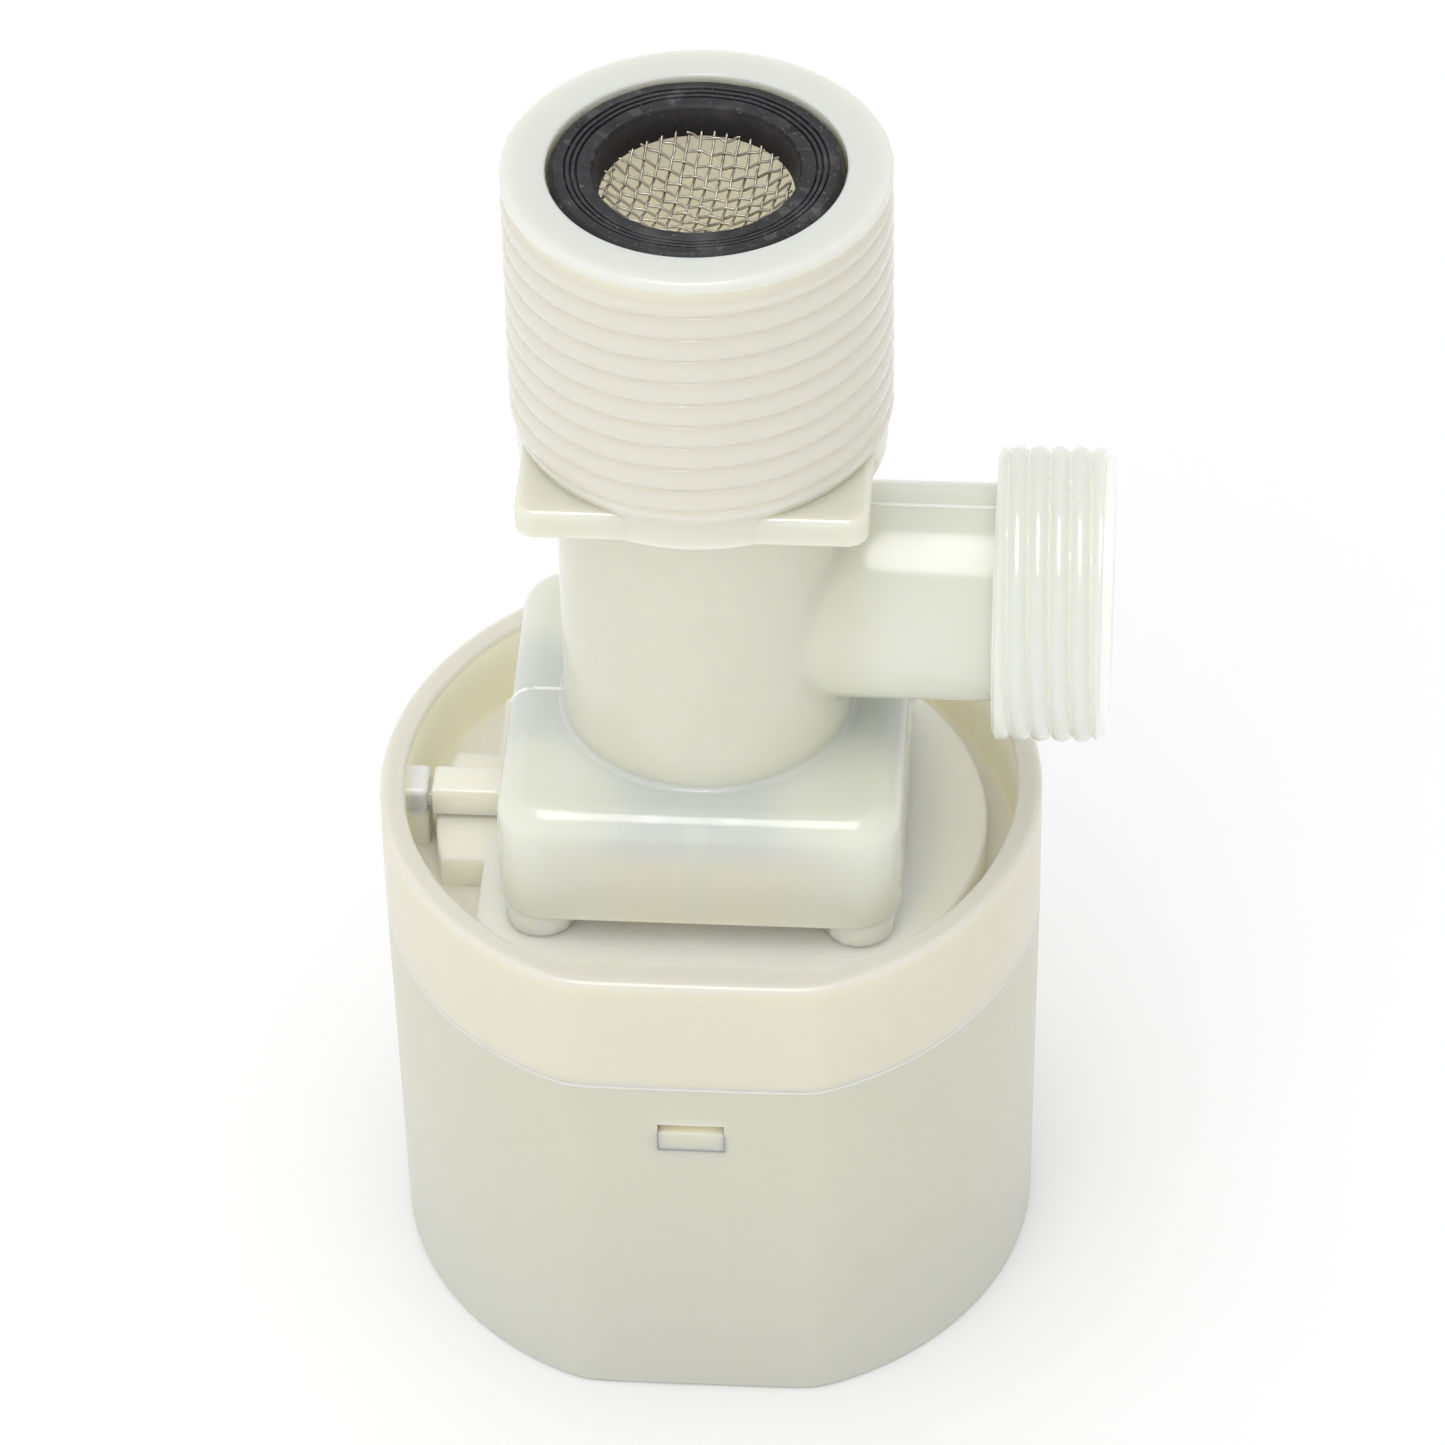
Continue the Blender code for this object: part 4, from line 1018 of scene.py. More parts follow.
@dataclass
class ValveTee:
    """The one-piece body: threaded inlet, wrench flange, tube, side outlet and square cap."""

    palette: Palette
    threads: GeometryTree
    inlet_crest: float = 16.6 * MM
    inlet_root: float = 16.1 * MM
    inlet_pitch: float = 2.309 * MM
    thread_low: float = 93.64 * MM
    rim_low: float = 118.55 * MM
    tube_r: float = 12.95 * MM
    pipe_r: float = 9.64 * MM
    pipe_z: float = 73.86 * MM
    collar_x: float = 25.6 * MM
    outlet_crest: float = 13.0 * MM
    outlet_root: float = 12.3 * MM
    outlet_pitch: float = 1.814 * MM
    cap_half: Vector = field(default_factory=lambda: Vector((17.9 * MM, 17.7 * MM, 5.965 * MM)))
    cap_low: float = 49.0 * MM
    cap_high: float = 60.93 * MM

    def build(self) -> None:
        """Make, dress and seat the tee."""
        low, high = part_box("valve_body")
        tee = self.column(high.z)
        combine(tee, Cut.ADD, [self.flange(), self.cap(), self.side_pipe(), self.inlet_thread(),
                               *self.outlet_collar(high.x)])
        combine(tee, Cut.REMOVE, self.hollows(high))
        combine(tee, Cut.ADD, self.inner_shapes())
        combine(tee, Cut.REMOVE, self.bores(high))
        combine(tee, Cut.ADD, self.parting_lines())
        tidy_mesh(tee)
        seat(tee, self.palette, Slot.BODY_NYLON, Body.VALVE, "valve_body")

    def column(self, top: float) -> bpy.types.Object:
        """The tube, the neck under the thread, and the plain rim."""
        return lathe("valve_tee", [
            Corner(0, self.cap_high - 1.2 * MM),
            Corner(self.tube_r + 1.4 * MM, self.cap_high - 1.2 * MM),
            Corner(self.tube_r + 1.4 * MM, self.cap_high - 0.02 * MM),
            Corner(self.tube_r, self.cap_high - 0.02 * MM, 0.45 * MM),
            Corner(self.tube_r, 91.2 * MM, 0.3 * MM),
            Corner(self.inlet_root, 91.2 * MM),
            Corner(self.inlet_root, self.rim_low - 0.9 * MM),
            Corner(self.inlet_root, self.rim_low),
            Corner(self.inlet_crest, self.rim_low + 0.35 * MM, 0.3 * MM),
            Corner(self.inlet_crest, top, 0.75 * MM),
            Corner(0, top),
        ], sides=224, steps=7)

    def flange(self) -> bpy.types.Object:
        """The square wrench flange with softened edges."""
        half = Vector((15.1 * MM, 15.1 * MM, 1.4 * MM))
        return slab("flange", half, Vector((0, 0, 92.4 * MM)), 1.8 * MM, 0.55 * MM, 0.35 * MM)

    def cap(self) -> bpy.types.Object:
        """The square diaphragm cap with its round top edge."""
        centre = Vector((0, 0, (self.cap_low + self.cap_high) / 2))
        return slab("cap", self.cap_half, centre, 4.25 * MM, 2.3 * MM, 0.35 * MM, steps=12)

    def side_pipe(self) -> bpy.types.Object:
        """The outlet pipe, flared where it leaves the tube."""
        sides = 160
        flare = 0.7 * MM
        rows = [(self.pipe_r - 1.5 * MM, -5.0 * MM), (self.pipe_r + flare, -1.5 * MM)]
        for step in range(7):
            turn = 0.5 * math.pi * step / 6
            rows.append((self.pipe_r + flare * (1 - math.sin(turn)), flare * (1 - math.cos(turn))))
        end = self.collar_x + 1.0 * MM
        points: list[tuple[float, float, float]] = []
        for radius, along in rows:
            for index in range(sides):
                angle = 2 * math.pi * index / sides
                across = radius * math.cos(angle)
                x = math.sqrt(max(self.tube_r ** 2 - across ** 2, 0.0)) + along
                points.append((x, across, self.pipe_z + radius * math.sin(angle)))
        for index in range(sides):
            angle = 2 * math.pi * index / sides
            points.append((end, self.pipe_r * math.cos(angle), self.pipe_z + self.pipe_r * math.sin(angle)))
        faces = [list(range(sides)), list(range(len(points) - sides, len(points)))]
        for row in range(len(rows)):
            for index in range(sides):
                after = (index + 1) % sides
                faces.append([row * sides + index, row * sides + after,
                              (row + 1) * sides + after, (row + 1) * sides + index])
        return new_piece("side_pipe", points, faces)

    def thread(self, name: str, root: float, crest: float, pitch: float, length: float,
               lead_in: float, around: int) -> bpy.types.Object:
        """A threaded bar standing on the origin.

        Args:
            name: the bar's name.
            root: radius at the bottom of the thread.
            crest: radius at the top of the thread.
            pitch: distance between turns.
            length: length of the bar.
            lead_in: length over which the thread fades at each end.
            around: points round the bar.

        Returns:
            The bar as a plain closed mesh.
        """
        bar = self.threads.grow(name, {
            "Root Radius": root, "Crest Radius": crest, "Pitch": pitch, "Length": length,
            "Lead In": lead_in, "Around": around + 1, "Rows": int(length / pitch * 22) + 3,
            "Material": self.palette.materials[Slot.BODY_NYLON]})
        tidy_mesh(bar)
        return bar

    def inlet_thread(self) -> bpy.types.Object:
        """The pipe thread of the inlet."""
        length = self.rim_low + 0.25 * MM - self.thread_low
        bar = self.thread("inlet_thread", self.inlet_root - 0.02 * MM, self.inlet_crest, self.inlet_pitch,
                          length, 1.6 * MM, 176)
        bar.data.transform(Matrix.Translation((0, 0, self.thread_low)))
        return bar

    def outlet_collar(self, end: float) -> list[bpy.types.Object]:
        """The threaded collar of the outlet and its plain end land."""
        start = self.collar_x
        land = 0.75 * MM
        base = lathe("collar_land", [
            Corner(0, 0),
            Corner(self.outlet_root - 0.1 * MM, 0, 0.3 * MM),
            Corner(self.outlet_root + 0.1 * MM, end - start, 0.3 * MM),
            Corner(0, end - start),
        ], sides=160)
        bar = self.thread("outlet_thread", self.outlet_root - 0.02 * MM, self.outlet_crest, self.outlet_pitch,
                          end - start - land, 0.35 * MM, 144)
        for piece in (base, bar):
            lay_along_x(piece, self.pipe_z)
            piece.data.transform(Matrix.Translation((start, 0, 0)))
        return [base, bar]

    def hollows(self, high: Vector) -> list[bpy.types.Object]:
        """The cap's hollow and the ring duct round the inner pipe."""
        wall = 1.8 * MM
        half = Vector((self.cap_half.x - wall, self.cap_half.y - wall, 5.465 * MM))
        cavity = slab("cap_hollow", half, Vector((0, 0, 53.465 * MM)), 2.45 * MM)
        duct = lathe("ring_duct", [
            Corner(0, 58.5 * MM), Corner(10.6 * MM, 58.5 * MM), Corner(10.6 * MM, 84.0 * MM, 1.0 * MM),
            Corner(0, 84.0 * MM)], sides=96)
        return [cavity, duct]

    def inner_shapes(self) -> list[bpy.types.Object]:
        """The inner pipe with its seat, the clamping ring and the screw bosses."""
        pipe = lathe("inner_pipe", [
            Corner(0, 56.3 * MM), Corner(7.5 * MM, 56.3 * MM, 0.3 * MM), Corner(8.0 * MM, 57.0 * MM),
            Corner(8.0 * MM, 85.0 * MM), Corner(0, 85.0 * MM)], sides=96)
        ring = lathe("clamp_ring", [
            Corner(12.2 * MM, 56.0 * MM), Corner(15.3 * MM, 56.0 * MM), Corner(15.3 * MM, 59.4 * MM),
            Corner(12.2 * MM, 59.4 * MM)], sides=96)
        shapes = [pipe, ring]
        for x in (-13.0 * MM, 13.0 * MM):
            for y in (-12.8 * MM, 12.8 * MM):
                boss = lathe("screw_boss", [
                    Corner(0, 56.1 * MM), Corner(3.2 * MM, 56.1 * MM), Corner(3.2 * MM, 59.4 * MM),
                    Corner(0, 59.4 * MM)], sides=32)
                boss.data.transform(Matrix.Translation((x, y, 0)))
                shapes.append(boss)
        for side in (-1, 1):
            near, far = sorted((side * 15.55 * MM, side * 16.2 * MM))
            shapes.append(box("cap_rib", (-0.7 * MM, near, 51.7 * MM), (0.7 * MM, far, 59.4 * MM), 0.1 * MM))
        return shapes

    def bores(self, high: Vector) -> list[bpy.types.Object]:
        """The inlet way, the outlet way and the screw holes."""
        inlet = lathe("inlet_way", [
            Corner(0, 50 * MM), Corner(6.0 * MM, 50 * MM), Corner(6.0 * MM, 88 * MM, 1.5 * MM),
            Corner(11.0 * MM, 93 * MM, 1.5 * MM), Corner(11.0 * MM, 116.4 * MM), Corner(12.75 * MM, 116.4 * MM),
            Corner(12.75 * MM, high.z - 0.15 * MM), Corner(13.0 * MM, high.z + 0.1 * MM),
            Corner(13.0 * MM, high.z + 1 * MM), Corner(0, high.z + 1 * MM)], sides=160)
        outlet = lathe("outlet_way", [
            Corner(0, 8.3 * MM), Corner(7.4 * MM, 8.3 * MM), Corner(7.4 * MM, high.x - 6.4 * MM, 0.3 * MM),
            Corner(9.4 * MM, high.x - 6.4 * MM, 0.3 * MM), Corner(9.4 * MM, high.x - 0.3 * MM),
            Corner(9.75 * MM, high.x + 0.05 * MM), Corner(9.75 * MM, high.x + 1 * MM),
            Corner(0, high.x + 1 * MM)], sides=96)
        lay_along_x(outlet, self.pipe_z)
        holes = [inlet, outlet]
        for x in (-13.0 * MM, 13.0 * MM):
            for y in (-12.8 * MM, 12.8 * MM):
                hole = lathe("screw_hole", [
                    Corner(0, 55 * MM), Corner(1.4 * MM, 55 * MM), Corner(1.4 * MM, 59 * MM),
                    Corner(0, 59 * MM)], sides=24)
                hole.data.transform(Matrix.Translation((x, y, 0)))
                holes.append(hole)
        return holes

    def parting_lines(self) -> list[bpy.types.Object]:
        """Hairline flash where the two mould halves met, on the pipe and over the cap."""
        width = 0.12 * MM
        crown = self.pipe_z + self.pipe_r
        on_pipe = box("pipe_flash", (self.tube_r - 0.4 * MM, -width, crown - 0.3 * MM),
                      (self.collar_x + 0.3 * MM, width, crown + 0.1 * MM))
        over_cap = plate("cap_flash", [
            Corner(-self.cap_half.x - 0.07 * MM, self.cap_low + 0.3 * MM),
            Corner(-self.cap_half.x - 0.07 * MM, self.cap_high + 0.07 * MM, 2.3 * MM),
            Corner(-self.tube_r + 0.3 * MM, self.cap_high + 0.07 * MM),
            Corner(-self.tube_r + 0.3 * MM, self.cap_high - 0.5 * MM),
            Corner(-self.cap_half.x + 0.5 * MM, self.cap_high - 0.5 * MM, 2.0 * MM),
            Corner(-self.cap_half.x + 0.5 * MM, self.cap_low + 0.3 * MM),
        ], -width, width)
        return [on_pipe, over_cap]


@dataclass
class InletFittings:
    """The ribbed rubber washer and the woven strainer in the inlet."""

    palette: Palette
    outer_r: float = 12.5 * MM
    hole_r: float = 8.3 * MM
    base_z: float = 116.7 * MM
    top_z: float = 119.8 * MM
    wire_r: float = 0.125 * MM
    mesh_pitch: float = 1.08 * MM

    def build(self) -> None:
        """Make, dress and seat both fittings."""
        self.washer()
        self.strainer()

    def washer(self) -> None:
        """The washer: stepped ribs that fall towards its hole."""
        corners = [
            Corner(self.hole_r, self.base_z),
            Corner(self.outer_r - 0.2 * MM, self.base_z),
            Corner(self.outer_r, self.top_z - 0.5 * MM, 0.4 * MM),
            Corner(self.outer_r - 0.5 * MM, self.top_z - 0.05 * MM, 0.2 * MM),
        ]
        radius = self.outer_r - 1.25 * MM
        height = self.top_z - 0.02 * MM
        for width in (0.50 * MM, 0.48 * MM, 0.52 * MM):
            corners.append(Corner(radius, height - 0.02 * MM, 0.1 * MM))
            corners.append(Corner(radius - 0.12 * MM, height - 0.42 * MM, 0.05 * MM))
            corners.append(Corner(radius - 0.24 * MM, height - 0.10 * MM, 0.08 * MM))
            radius -= width
            height -= 0.07 * MM
        corners.append(Corner(self.hole_r + 0.65 * MM, height - 0.02 * MM, 0.15 * MM))
        corners.append(Corner(self.hole_r + 0.40 * MM, height - 0.30 * MM, 0.1 * MM))
        washer = lathe("inlet_washer_ribbed", corners, sides=192, steps=3)
        self.make_uneven(washer)
        seat(washer, self.palette, Slot.RUBBER, Body.VALVE, "inlet_washer")

    def make_uneven(self, washer: bpy.types.Object) -> None:
        """Give the soft rubber a slightly wavy edge and height."""
        for vertex in washer.data.vertices:
            angle = math.atan2(vertex.co.y, vertex.co.x)
            out = (math.hypot(vertex.co.x, vertex.co.y) - self.hole_r) / (self.outer_r - self.hole_r)
            wave = 0.10 * math.sin(3 * angle + 0.8) + 0.07 * math.sin(7 * angle) + 0.04 * math.sin(17 * angle)
            vertex.co.x *= 1 + 0.012 * wave * out
            vertex.co.y *= 1 + 0.012 * wave * out
            if vertex.co.z > self.base_z + 0.2 * MM:
                vertex.co.z += (wave - 0.2) * 0.35 * MM

    def strainer(self) -> None:
        """The dished screen of woven stainless wire."""
        low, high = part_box("inlet_strainer")
        screen = weave_tree().grow("inlet_strainer_woven", {
            "Radius": 7.85 * MM, "Rim Height": high.z - 0.75 * MM, "Depth": high.z - low.z - 1.0 * MM,
            "Pitch": self.mesh_pitch, "Wire Radius": self.wire_r, "Fray": 0.4 * MM, "Wires": 15,
            "Seed": 7, "Material": self.palette.materials[Slot.WIRE]})
        screen.data.transform(Matrix.Rotation(math.radians(-7), 4, "Z"))
        seat(screen, self.palette, Slot.WIRE, Body.VALVE, "inlet_strainer")


@dataclass
class PilotGroup:
    """The lever with its arm, the cover screws, and the inner parts that keep their shape."""

    palette: Palette
    hinge_x: float = 6.0 * MM
    hinge_z: float = 45.4 * MM
    screw_x: float = 13.0 * MM
    screw_y: float = 12.8 * MM
    kept: dict[str, Slot] = field(default_factory=lambda: {
        "diaphragm": Slot.SILICONE,
        "diaphragm_core": Slot.INNER_NYLON,
        "backing_nut": Slot.INNER_NYLON,
        "closing_spring": Slot.WIRE,
        "bleed_needle": Slot.WIRE,
        "pilot_nozzle": Slot.BRASS,
        "lever_pin": Slot.SCREW,
        "pilot_plug": Slot.RUBBER,
        "float_block": Slot.FOAM,
    })

    def build(self) -> None:
        """Make the lever and screws, and dress the kept parts."""
        self.lever()
        self.screws()
        self.cover()
        for node, slot in self.kept.items():
            self.palette.dress(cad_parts[node], slot)
            LOG.info("%s: frame part, dressed as %s", node, slot.value)

    def lever(self) -> None:
        """The lever: a wide bar under the nozzle and a narrow arm to the barrel's wall."""
        bar_low, bar_high = self.hinge_z - 1.2 * MM, self.hinge_z + 1.0 * MM
        lever = plate("pilot_lever_moulded", [
            Corner(-12.6 * MM, bar_low, 0.3 * MM),
            Corner(self.hinge_x + 1.9 * MM, bar_low - 0.6 * MM, 1.4 * MM),
            Corner(self.hinge_x + 1.9 * MM, bar_high + 0.8 * MM, 1.4 * MM),
            Corner(self.hinge_x - 2.2 * MM, bar_high, 1.0 * MM),
            Corner(-12.6 * MM, bar_high, 0.3 * MM),
        ], -3.5 * MM, 3.5 * MM, 0.25 * MM)
        arm = plate("lever_arm", [
            Corner(-11.8 * MM, bar_low + 0.2 * MM), Corner(-11.8 * MM, bar_high - 0.2 * MM),
            Corner(-13.0 * MM, 48.6 * MM, 0.4 * MM), Corner(-18.6 * MM, 48.6 * MM, 0.2 * MM),
            Corner(-18.8 * MM, 49.7 * MM, 0.3 * MM), Corner(-25.35 * MM, 49.7 * MM, 0.5 * MM),
            Corner(-25.35 * MM, 46.7 * MM, 0.3 * MM), Corner(-14.5 * MM, 46.7 * MM, 0.3 * MM),
            Corner(-14.5 * MM, bar_low + 0.2 * MM)], -1.7 * MM, 1.7 * MM, 0.4 * MM)
        tongue = box("lever_tongue", (-27.0 * MM, -1.2 * MM, 47.3 * MM), (-24.1 * MM, 1.2 * MM, 48.7 * MM),
                     0.2 * MM)
        combine(lever, Cut.ADD, [arm, tongue])
        bore = lathe("lever_bore", [
            Corner(0, -7 * MM), Corner(1.0 * MM, -7 * MM), Corner(1.0 * MM, 7 * MM), Corner(0, 7 * MM)],
            sides=32)
        bore.data.transform(Matrix.Translation((self.hinge_x, 0, self.hinge_z))
                            @ Matrix.Rotation(math.pi / 2, 4, "X"))
        pocket = lathe("plug_pocket", [
            Corner(0, 44.9 * MM), Corner(2.3 * MM, 44.9 * MM), Corner(2.3 * MM, 47.9 * MM),
            Corner(0, 47.9 * MM)], sides=32)
        pocket.data.transform(Matrix.Translation((-8.2 * MM, 0, 0)))
        combine(lever, Cut.REMOVE, [bore, pocket])
        tidy_mesh(lever)
        seat(lever, self.palette, Slot.INNER_NYLON, Body.LEVER, "pilot_lever")

    def cover(self) -> None:
        """The pilot cover, its round lugs and ears made smooth."""
        cover = bpy.data.objects.new("pilot_cover_moulded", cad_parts["pilot_cover"].data.copy())
        bpy.context.scene.collection.objects.link(cover)
        tidy_mesh(cover, 40.0)
        seat(cover, self.palette, Slot.INNER_NYLON, Body.VALVE, "pilot_cover")

    def screws(self) -> None:
        """Four screws with a driver socket in each head."""
        screw = lathe("cover_screw", [
            Corner(0, 47.8 * MM), Corner(0.75 * MM, 47.6 * MM), Corner(0.9 * MM, 47.0 * MM),
            Corner(2.0 * MM, 47.0 * MM, 0.4 * MM), Corner(2.0 * MM, 48.4 * MM, 0.1 * MM),
            Corner(1.1 * MM, 48.4 * MM), Corner(1.1 * MM, 57.8 * MM), Corner(0, 58.6 * MM)], sides=24)
        four = corner_tree().grow("cover_screws", {
            "Part": screw, "Width": 2 * self.screw_x, "Depth": 2 * self.screw_y,
            "Material": self.palette.materials[Slot.SCREW]})
        bpy.data.objects.remove(screw, do_unlink=True)
        seat(four, self.palette, Slot.SCREW, Body.VALVE, *[f"cover_screw_{n}" for n in range(1, 5)])


@dataclass
class FloatBarrel:
    """The float barrel: a collar with its basin, snapped into a cup with two flats."""

    palette: Palette
    radius: float = 29.97 * MM
    inset: float = 2.05 * MM
    basin_r: float = 27.74 * MM
    basin_inset: float = 2.75 * MM
    basin_z: float = 43.1 * MM
    platform_r: float = 25.05 * MM
    platform_z: float = 46.4 * MM
    joint_z: float = 38.55 * MM
    joint_gap: float = 0.005 * MM
    spigot_r: float = 27.0 * MM
    spigot_inset: float = 2.1 * MM

    def build(self) -> None:
        """Make, dress and seat both halves."""
        self.collar()
        self.cup()

    def collar(self) -> None:
        """The upper half, down to the latch hooks."""
        low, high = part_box("float_collar")
        rim = high.z
        floor = self.basin_z - 1.6 * MM
        wall = 1.8 * MM
        collar = lathe("float_collar_moulded", [
            Corner(0, self.basin_z),
            Corner(self.basin_r, self.basin_z, 0.5 * MM, self.basin_inset),
            Corner(self.basin_r, rim, 0.45 * MM, self.basin_inset),
            Corner(self.radius, rim, 0.55 * MM, self.inset),
            Corner(self.radius, self.joint_z + self.joint_gap, 0.03 * MM, self.inset),
            Corner(self.spigot_r, self.joint_z + self.joint_gap, 0.0, self.spigot_inset),
            Corner(self.spigot_r, 29.8 * MM, 0.3 * MM, self.spigot_inset),
            Corner(self.spigot_r - wall, 29.8 * MM, 0.0, self.spigot_inset),
            Corner(self.spigot_r - wall, floor, 1.0 * MM, self.spigot_inset),
            Corner(0, floor),
        ], sides=320)
        combine(collar, Cut.ADD, [self.platform(floor), self.wall_boss()] + [
            self.latch_hook(side) for side in (-1, 1)])
        combine(collar, Cut.REMOVE, self.collar_openings(floor))
        tidy_mesh(collar)
        seat(collar, self.palette, Slot.COLLAR_NYLON, Body.BARREL, "float_collar")

    def platform(self, floor: float) -> bpy.types.Object:
        """The raised middle of the basin, with a pocket each side of the lever."""
        platform = lathe("platform", [
            Corner(0, floor + 0.2 * MM), Corner(self.platform_r, floor + 0.2 * MM),
            Corner(self.platform_r, self.platform_z, 0.4 * MM), Corner(0, self.platform_z)], sides=192)
        pockets = []
        for side in (-1, 1):
            near, far = sorted((side * 7.2 * MM, side * 18.0 * MM))
            pockets.append(box("edge_pocket", (-26.0 * MM, near, self.basin_z - 0.1 * MM),
                               (-20.1 * MM, far, self.platform_z + 1 * MM), 0.3 * MM))
        combine(platform, Cut.REMOVE, pockets)
        return platform

    def wall_boss(self) -> bpy.types.Object:
        """The boss on the wall that holds the lever's tongue."""
        low, high = self.basin_z - 0.5 * MM, 49.7 * MM
        half = Vector((1.3 * MM, 1.9 * MM, (high - low) / 2))
        return slab("wall_boss", half, Vector((-27.0 * MM, 0, (high + low) / 2)), 0.5 * MM, 0.5 * MM)

    def latch_hook(self, side: int) -> bpy.types.Object:
        """A ramped hook on the spigot, seen through the cup's window."""
        root = self.spigot_r - self.spigot_inset - 0.3 * MM
        tip = 27.76 * MM
        hook = plate("latch_hook", [
            Corner(root, 32.9 * MM), Corner(tip, 32.9 * MM, 0.1 * MM), Corner(tip + 0.02 * MM, 30.82 * MM),
            Corner(root, 30.82 * MM)], -2.985 * MM, 2.985 * MM)
        hook.data.transform(Matrix.Translation((0, 0.2 * side * MM, 0)))
        hook.data.transform(Matrix.Rotation(side * math.pi / 2, 4, "Z"))
        return hook

    def collar_openings(self, floor: float) -> list[bpy.types.Object]:
        """The hollow under the platform, the lever's way, the tongue pocket and leg slots."""
        top = self.platform_z + 1 * MM
        under_top = self.platform_z - 1.7 * MM
        under = slab("platform_hollow", Vector((19.6 * MM, 17.5 * MM, (under_top - floor + 1 * MM) / 2)),
                     Vector((1 * MM, 0, (under_top + floor - 1 * MM) / 2)), 10 * MM)
        way = slab("lever_way", Vector((12.45 * MM, 7 * MM, (top - self.basin_z) / 2)),
                   Vector((-2.45 * MM, 0, (top + self.basin_z) / 2)), 1.5 * MM)
        pocket = box("tongue_pocket", (-27.4 * MM, -1.6 * MM, 47.0 * MM), (-25.0 * MM, 1.6 * MM, 49.0 * MM))
        openings = [under, way, pocket]
        for side in (-1, 1):
            near, far = sorted((side * 9.6 * MM, side * 12.4 * MM))
            openings.append(box("leg_slot", (-3.9 * MM, near, self.basin_z), (3.9 * MM, far, top)))
        return openings

    def cup(self) -> None:
        """The lower half, with a window for each latch hook."""
        low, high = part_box("float_cup")
        base_r = 29.55 * MM
        bore_r = 27.3 * MM
        cup = lathe("float_cup_moulded", [
            Corner(0, low.z),
            Corner(base_r, low.z, 0.5 * MM, 1.95 * MM),
            Corner(self.radius, self.joint_z - self.joint_gap, 0.03 * MM, self.inset),
            Corner(bore_r, self.joint_z - self.joint_gap, 0.2 * MM, 2.1 * MM),
            Corner(bore_r - 0.3 * MM, 2.6 * MM, 1.0 * MM, 2.1 * MM),
            Corner(0, 2.6 * MM),
        ], sides=320)
        cuts = []
        for side in (-1, 1):
            near, far = sorted((side * 24 * MM, side * 30 * MM))
            cuts.append(box("latch_window", (-3.2 * MM, near, 30.8 * MM), (2.8 * MM, far, 34.05 * MM)))
        combine(cup, Cut.REMOVE, cuts)
        tidy_mesh(cup)
        seat(cup, self.palette, Slot.CUP_NYLON, Body.BARREL, "float_cup")


@dataclass(frozen=True)
class SoftBox:
    """One soft box.

    Args:
        name: the light's name.
        place: where it hangs.
        width: its size along x.
        depth: its size across that.
        radiance: its brightness, where 1 is the surround's white.
        sheen: whether it shows only in glossy surfaces, or only in matt ones.
        turned: whether it is turned to the valve, or faces straight down.
    """

    name: str
    place: tuple[float, float, float]
    width: float
    depth: float
    radiance: float
    sheen: bool = False
    turned: bool = False


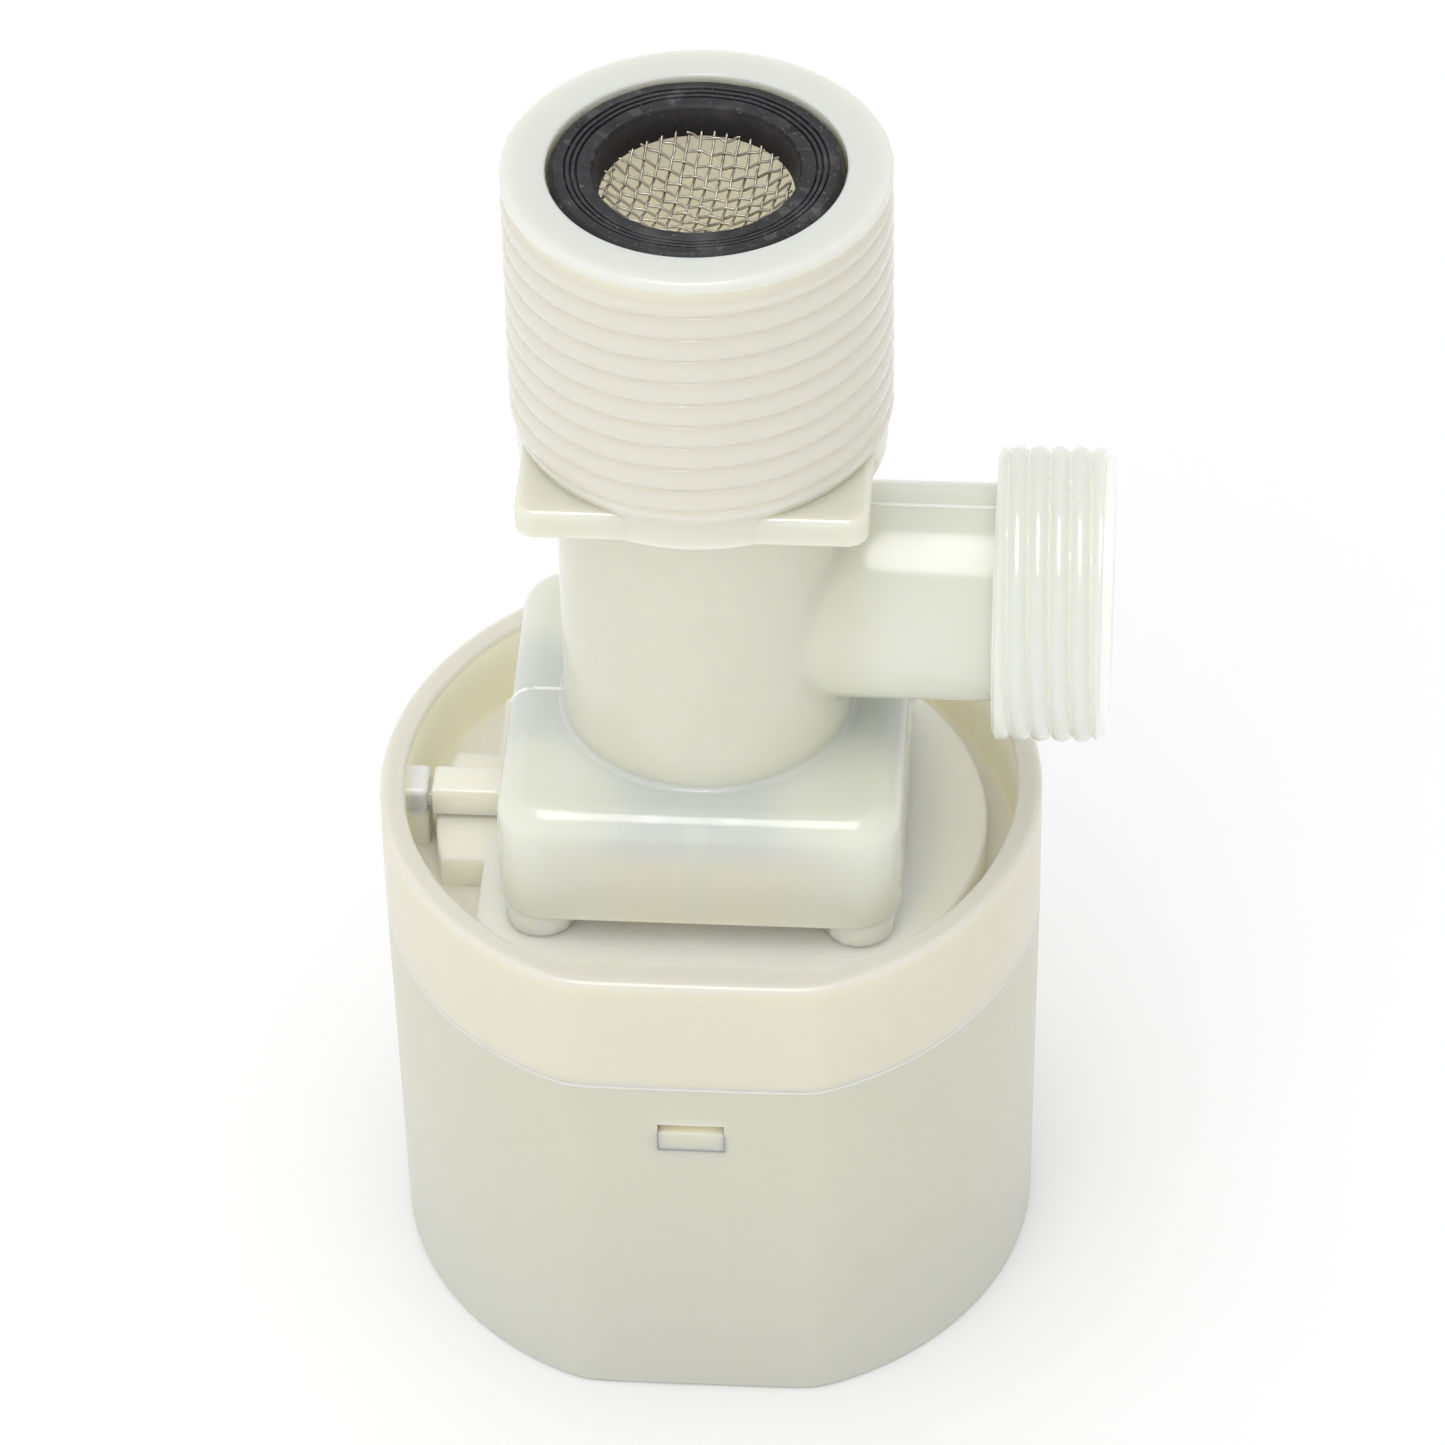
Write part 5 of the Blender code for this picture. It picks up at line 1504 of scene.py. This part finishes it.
@dataclass
class Studio:
    """The camera, the pale floor and the soft overhead light."""

    azimuth_deg: float = 4.729
    elevation_deg: float = 41.38
    roll_deg: float = -1.275
    distance: float = 618.09 * MM
    target: Vector = field(default_factory=lambda: Vector((1.165 * MM, 0.0, 57.502 * MM)))
    focal_pixels: float = 6879.5
    frame_pixels: float = 1445.0
    sensor: float = 36.0
    surround_middle: float = 1.0
    surround_left: float = 0.80
    surround_right: float = 0.69
    boxes: tuple[SoftBox, ...] = (
        SoftBox("softbox_top", (0.0, 0.0, 0.75), 1.0, 0.9, 0.38),
        SoftBox("softbox_front", (-0.4, -0.95, 0.7), 0.9, 0.9, 0.78, turned=True),
        SoftBox("softbox_sheen", (-0.03, -0.16, 0.75), 0.26, 0.56, 21.0, sheen=True),
    )

    def build(self) -> None:
        """Set up the camera, floor, world and lights."""
        self.camera()
        self.floor()
        self.world()
        self.lights()
        bpy.context.scene.view_settings.view_transform = "Standard"

    def camera(self) -> None:
        """A long lens, high in front of the valve and a little to its right."""
        azimuth, elevation, roll = (math.radians(a) for a in (
            self.azimuth_deg, self.elevation_deg, self.roll_deg))
        back = Vector((math.sin(azimuth) * math.cos(elevation), -math.cos(azimuth) * math.cos(elevation),
                       math.sin(elevation)))
        level = Vector((math.cos(azimuth), math.sin(azimuth), 0))
        rise = back.cross(level)
        right = math.cos(roll) * level + math.sin(roll) * rise
        up = -math.sin(roll) * level + math.cos(roll) * rise
        data = bpy.data.cameras.new("camera")
        data.sensor_width = self.sensor
        data.lens = self.focal_pixels * self.sensor / self.frame_pixels
        data.clip_start = 0.01
        camera = bpy.data.objects.new("camera", data)
        bpy.context.scene.collection.objects.link(camera)
        turn = Matrix((right, up, back)).transposed().to_4x4()
        camera.matrix_world = Matrix.Translation(self.target + back * self.distance) @ turn
        bpy.context.scene.camera = camera

    def floor(self) -> None:
        """A wide pale floor under the barrel."""
        half = 4.0
        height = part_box("float_cup")[0].z - 0.02 * MM
        points = [(-half, -half, height), (half, -half, height), (half, half, height), (-half, half, height)]
        mesh = bpy.data.meshes.new("studio_floor")
        mesh.from_pydata(points, [], [[0, 1, 2, 3]])
        floor = bpy.data.objects.new("studio_floor", mesh)
        bpy.context.scene.collection.objects.link(floor)
        made = Surface("studio_floor")
        tint = made.mix(made.noise(3.0), (0.955, 0.955, 0.965), (0.97, 0.97, 0.98))
        made.tree.links.new(tint, made.shader.inputs["Base Color"])
        made.constants({"Roughness": 0.9, "Specular IOR Level": 0.2})
        mesh.materials.append(made.material)

    def world(self) -> None:
        """A white surround, brightest in the middle and dimmer to the left and right."""
        world = bpy.data.worlds.new("surround")
        world.use_nodes = True
        nodes, links = world.node_tree.nodes, world.node_tree.links
        background = nodes["Background"]
        background.inputs["Color"].default_value = (1.0, 1.0, 1.0, 1.0)
        split = nodes.new("ShaderNodeSeparateXYZ")
        links.new(nodes.new("ShaderNodeTexCoord").outputs["Generated"], split.inputs[0])
        product = nodes.new("ShaderNodeMath")
        product.operation = "MULTIPLY"
        sides = ((-1.0, 0.0, self.surround_left, self.surround_middle),
                 (0.0, 1.0, 1.0, self.surround_right / self.surround_middle))
        for number, (start, end, first, last) in enumerate(sides):
            span = nodes.new("ShaderNodeMapRange")
            links.new(split.outputs[0], span.inputs["Value"])
            span.inputs["From Min"].default_value = start
            span.inputs["From Max"].default_value = end
            span.inputs["To Min"].default_value = first
            span.inputs["To Max"].default_value = last
            links.new(span.outputs[0], product.inputs[number])
        links.new(product.outputs[0], background.inputs["Strength"])
        bpy.context.scene.world = world

    def lights(self) -> None:
        """Hang each soft box, turned to the valve if it is set to turn, else facing straight down."""
        aim = Vector((0, 0, 70 * MM))
        for box in self.boxes:
            data = bpy.data.lights.new(box.name, "AREA")
            data.shape = "RECTANGLE"
            data.size = box.width
            data.size_y = box.depth
            data.energy = box.radiance * math.pi * box.width * box.depth
            light = bpy.data.objects.new(box.name, data)
            place = Vector(box.place)
            light.matrix_world = Matrix.Translation(place) @ (
                (place - aim).to_track_quat("Z", "Y").to_matrix().to_4x4() if box.turned else Matrix())
            light.visible_diffuse = not box.sheen
            light.visible_transmission = not box.sheen
            light.visible_glossy = box.sheen
            light.visible_camera = False
            bpy.context.scene.collection.objects.link(light)


def main() -> None:
    """Build every sub-assembly of the valve, then the studio."""
    logging.basicConfig(level=logging.INFO, format="%(name)s: %(message)s")
    palette = Palette()
    ValveTee(palette, thread_tree()).build()
    InletFittings(palette).build()
    PilotGroup(palette).build()
    FloatBarrel(palette).build()
    Studio().build()


if __name__ == "__main__":
    main()
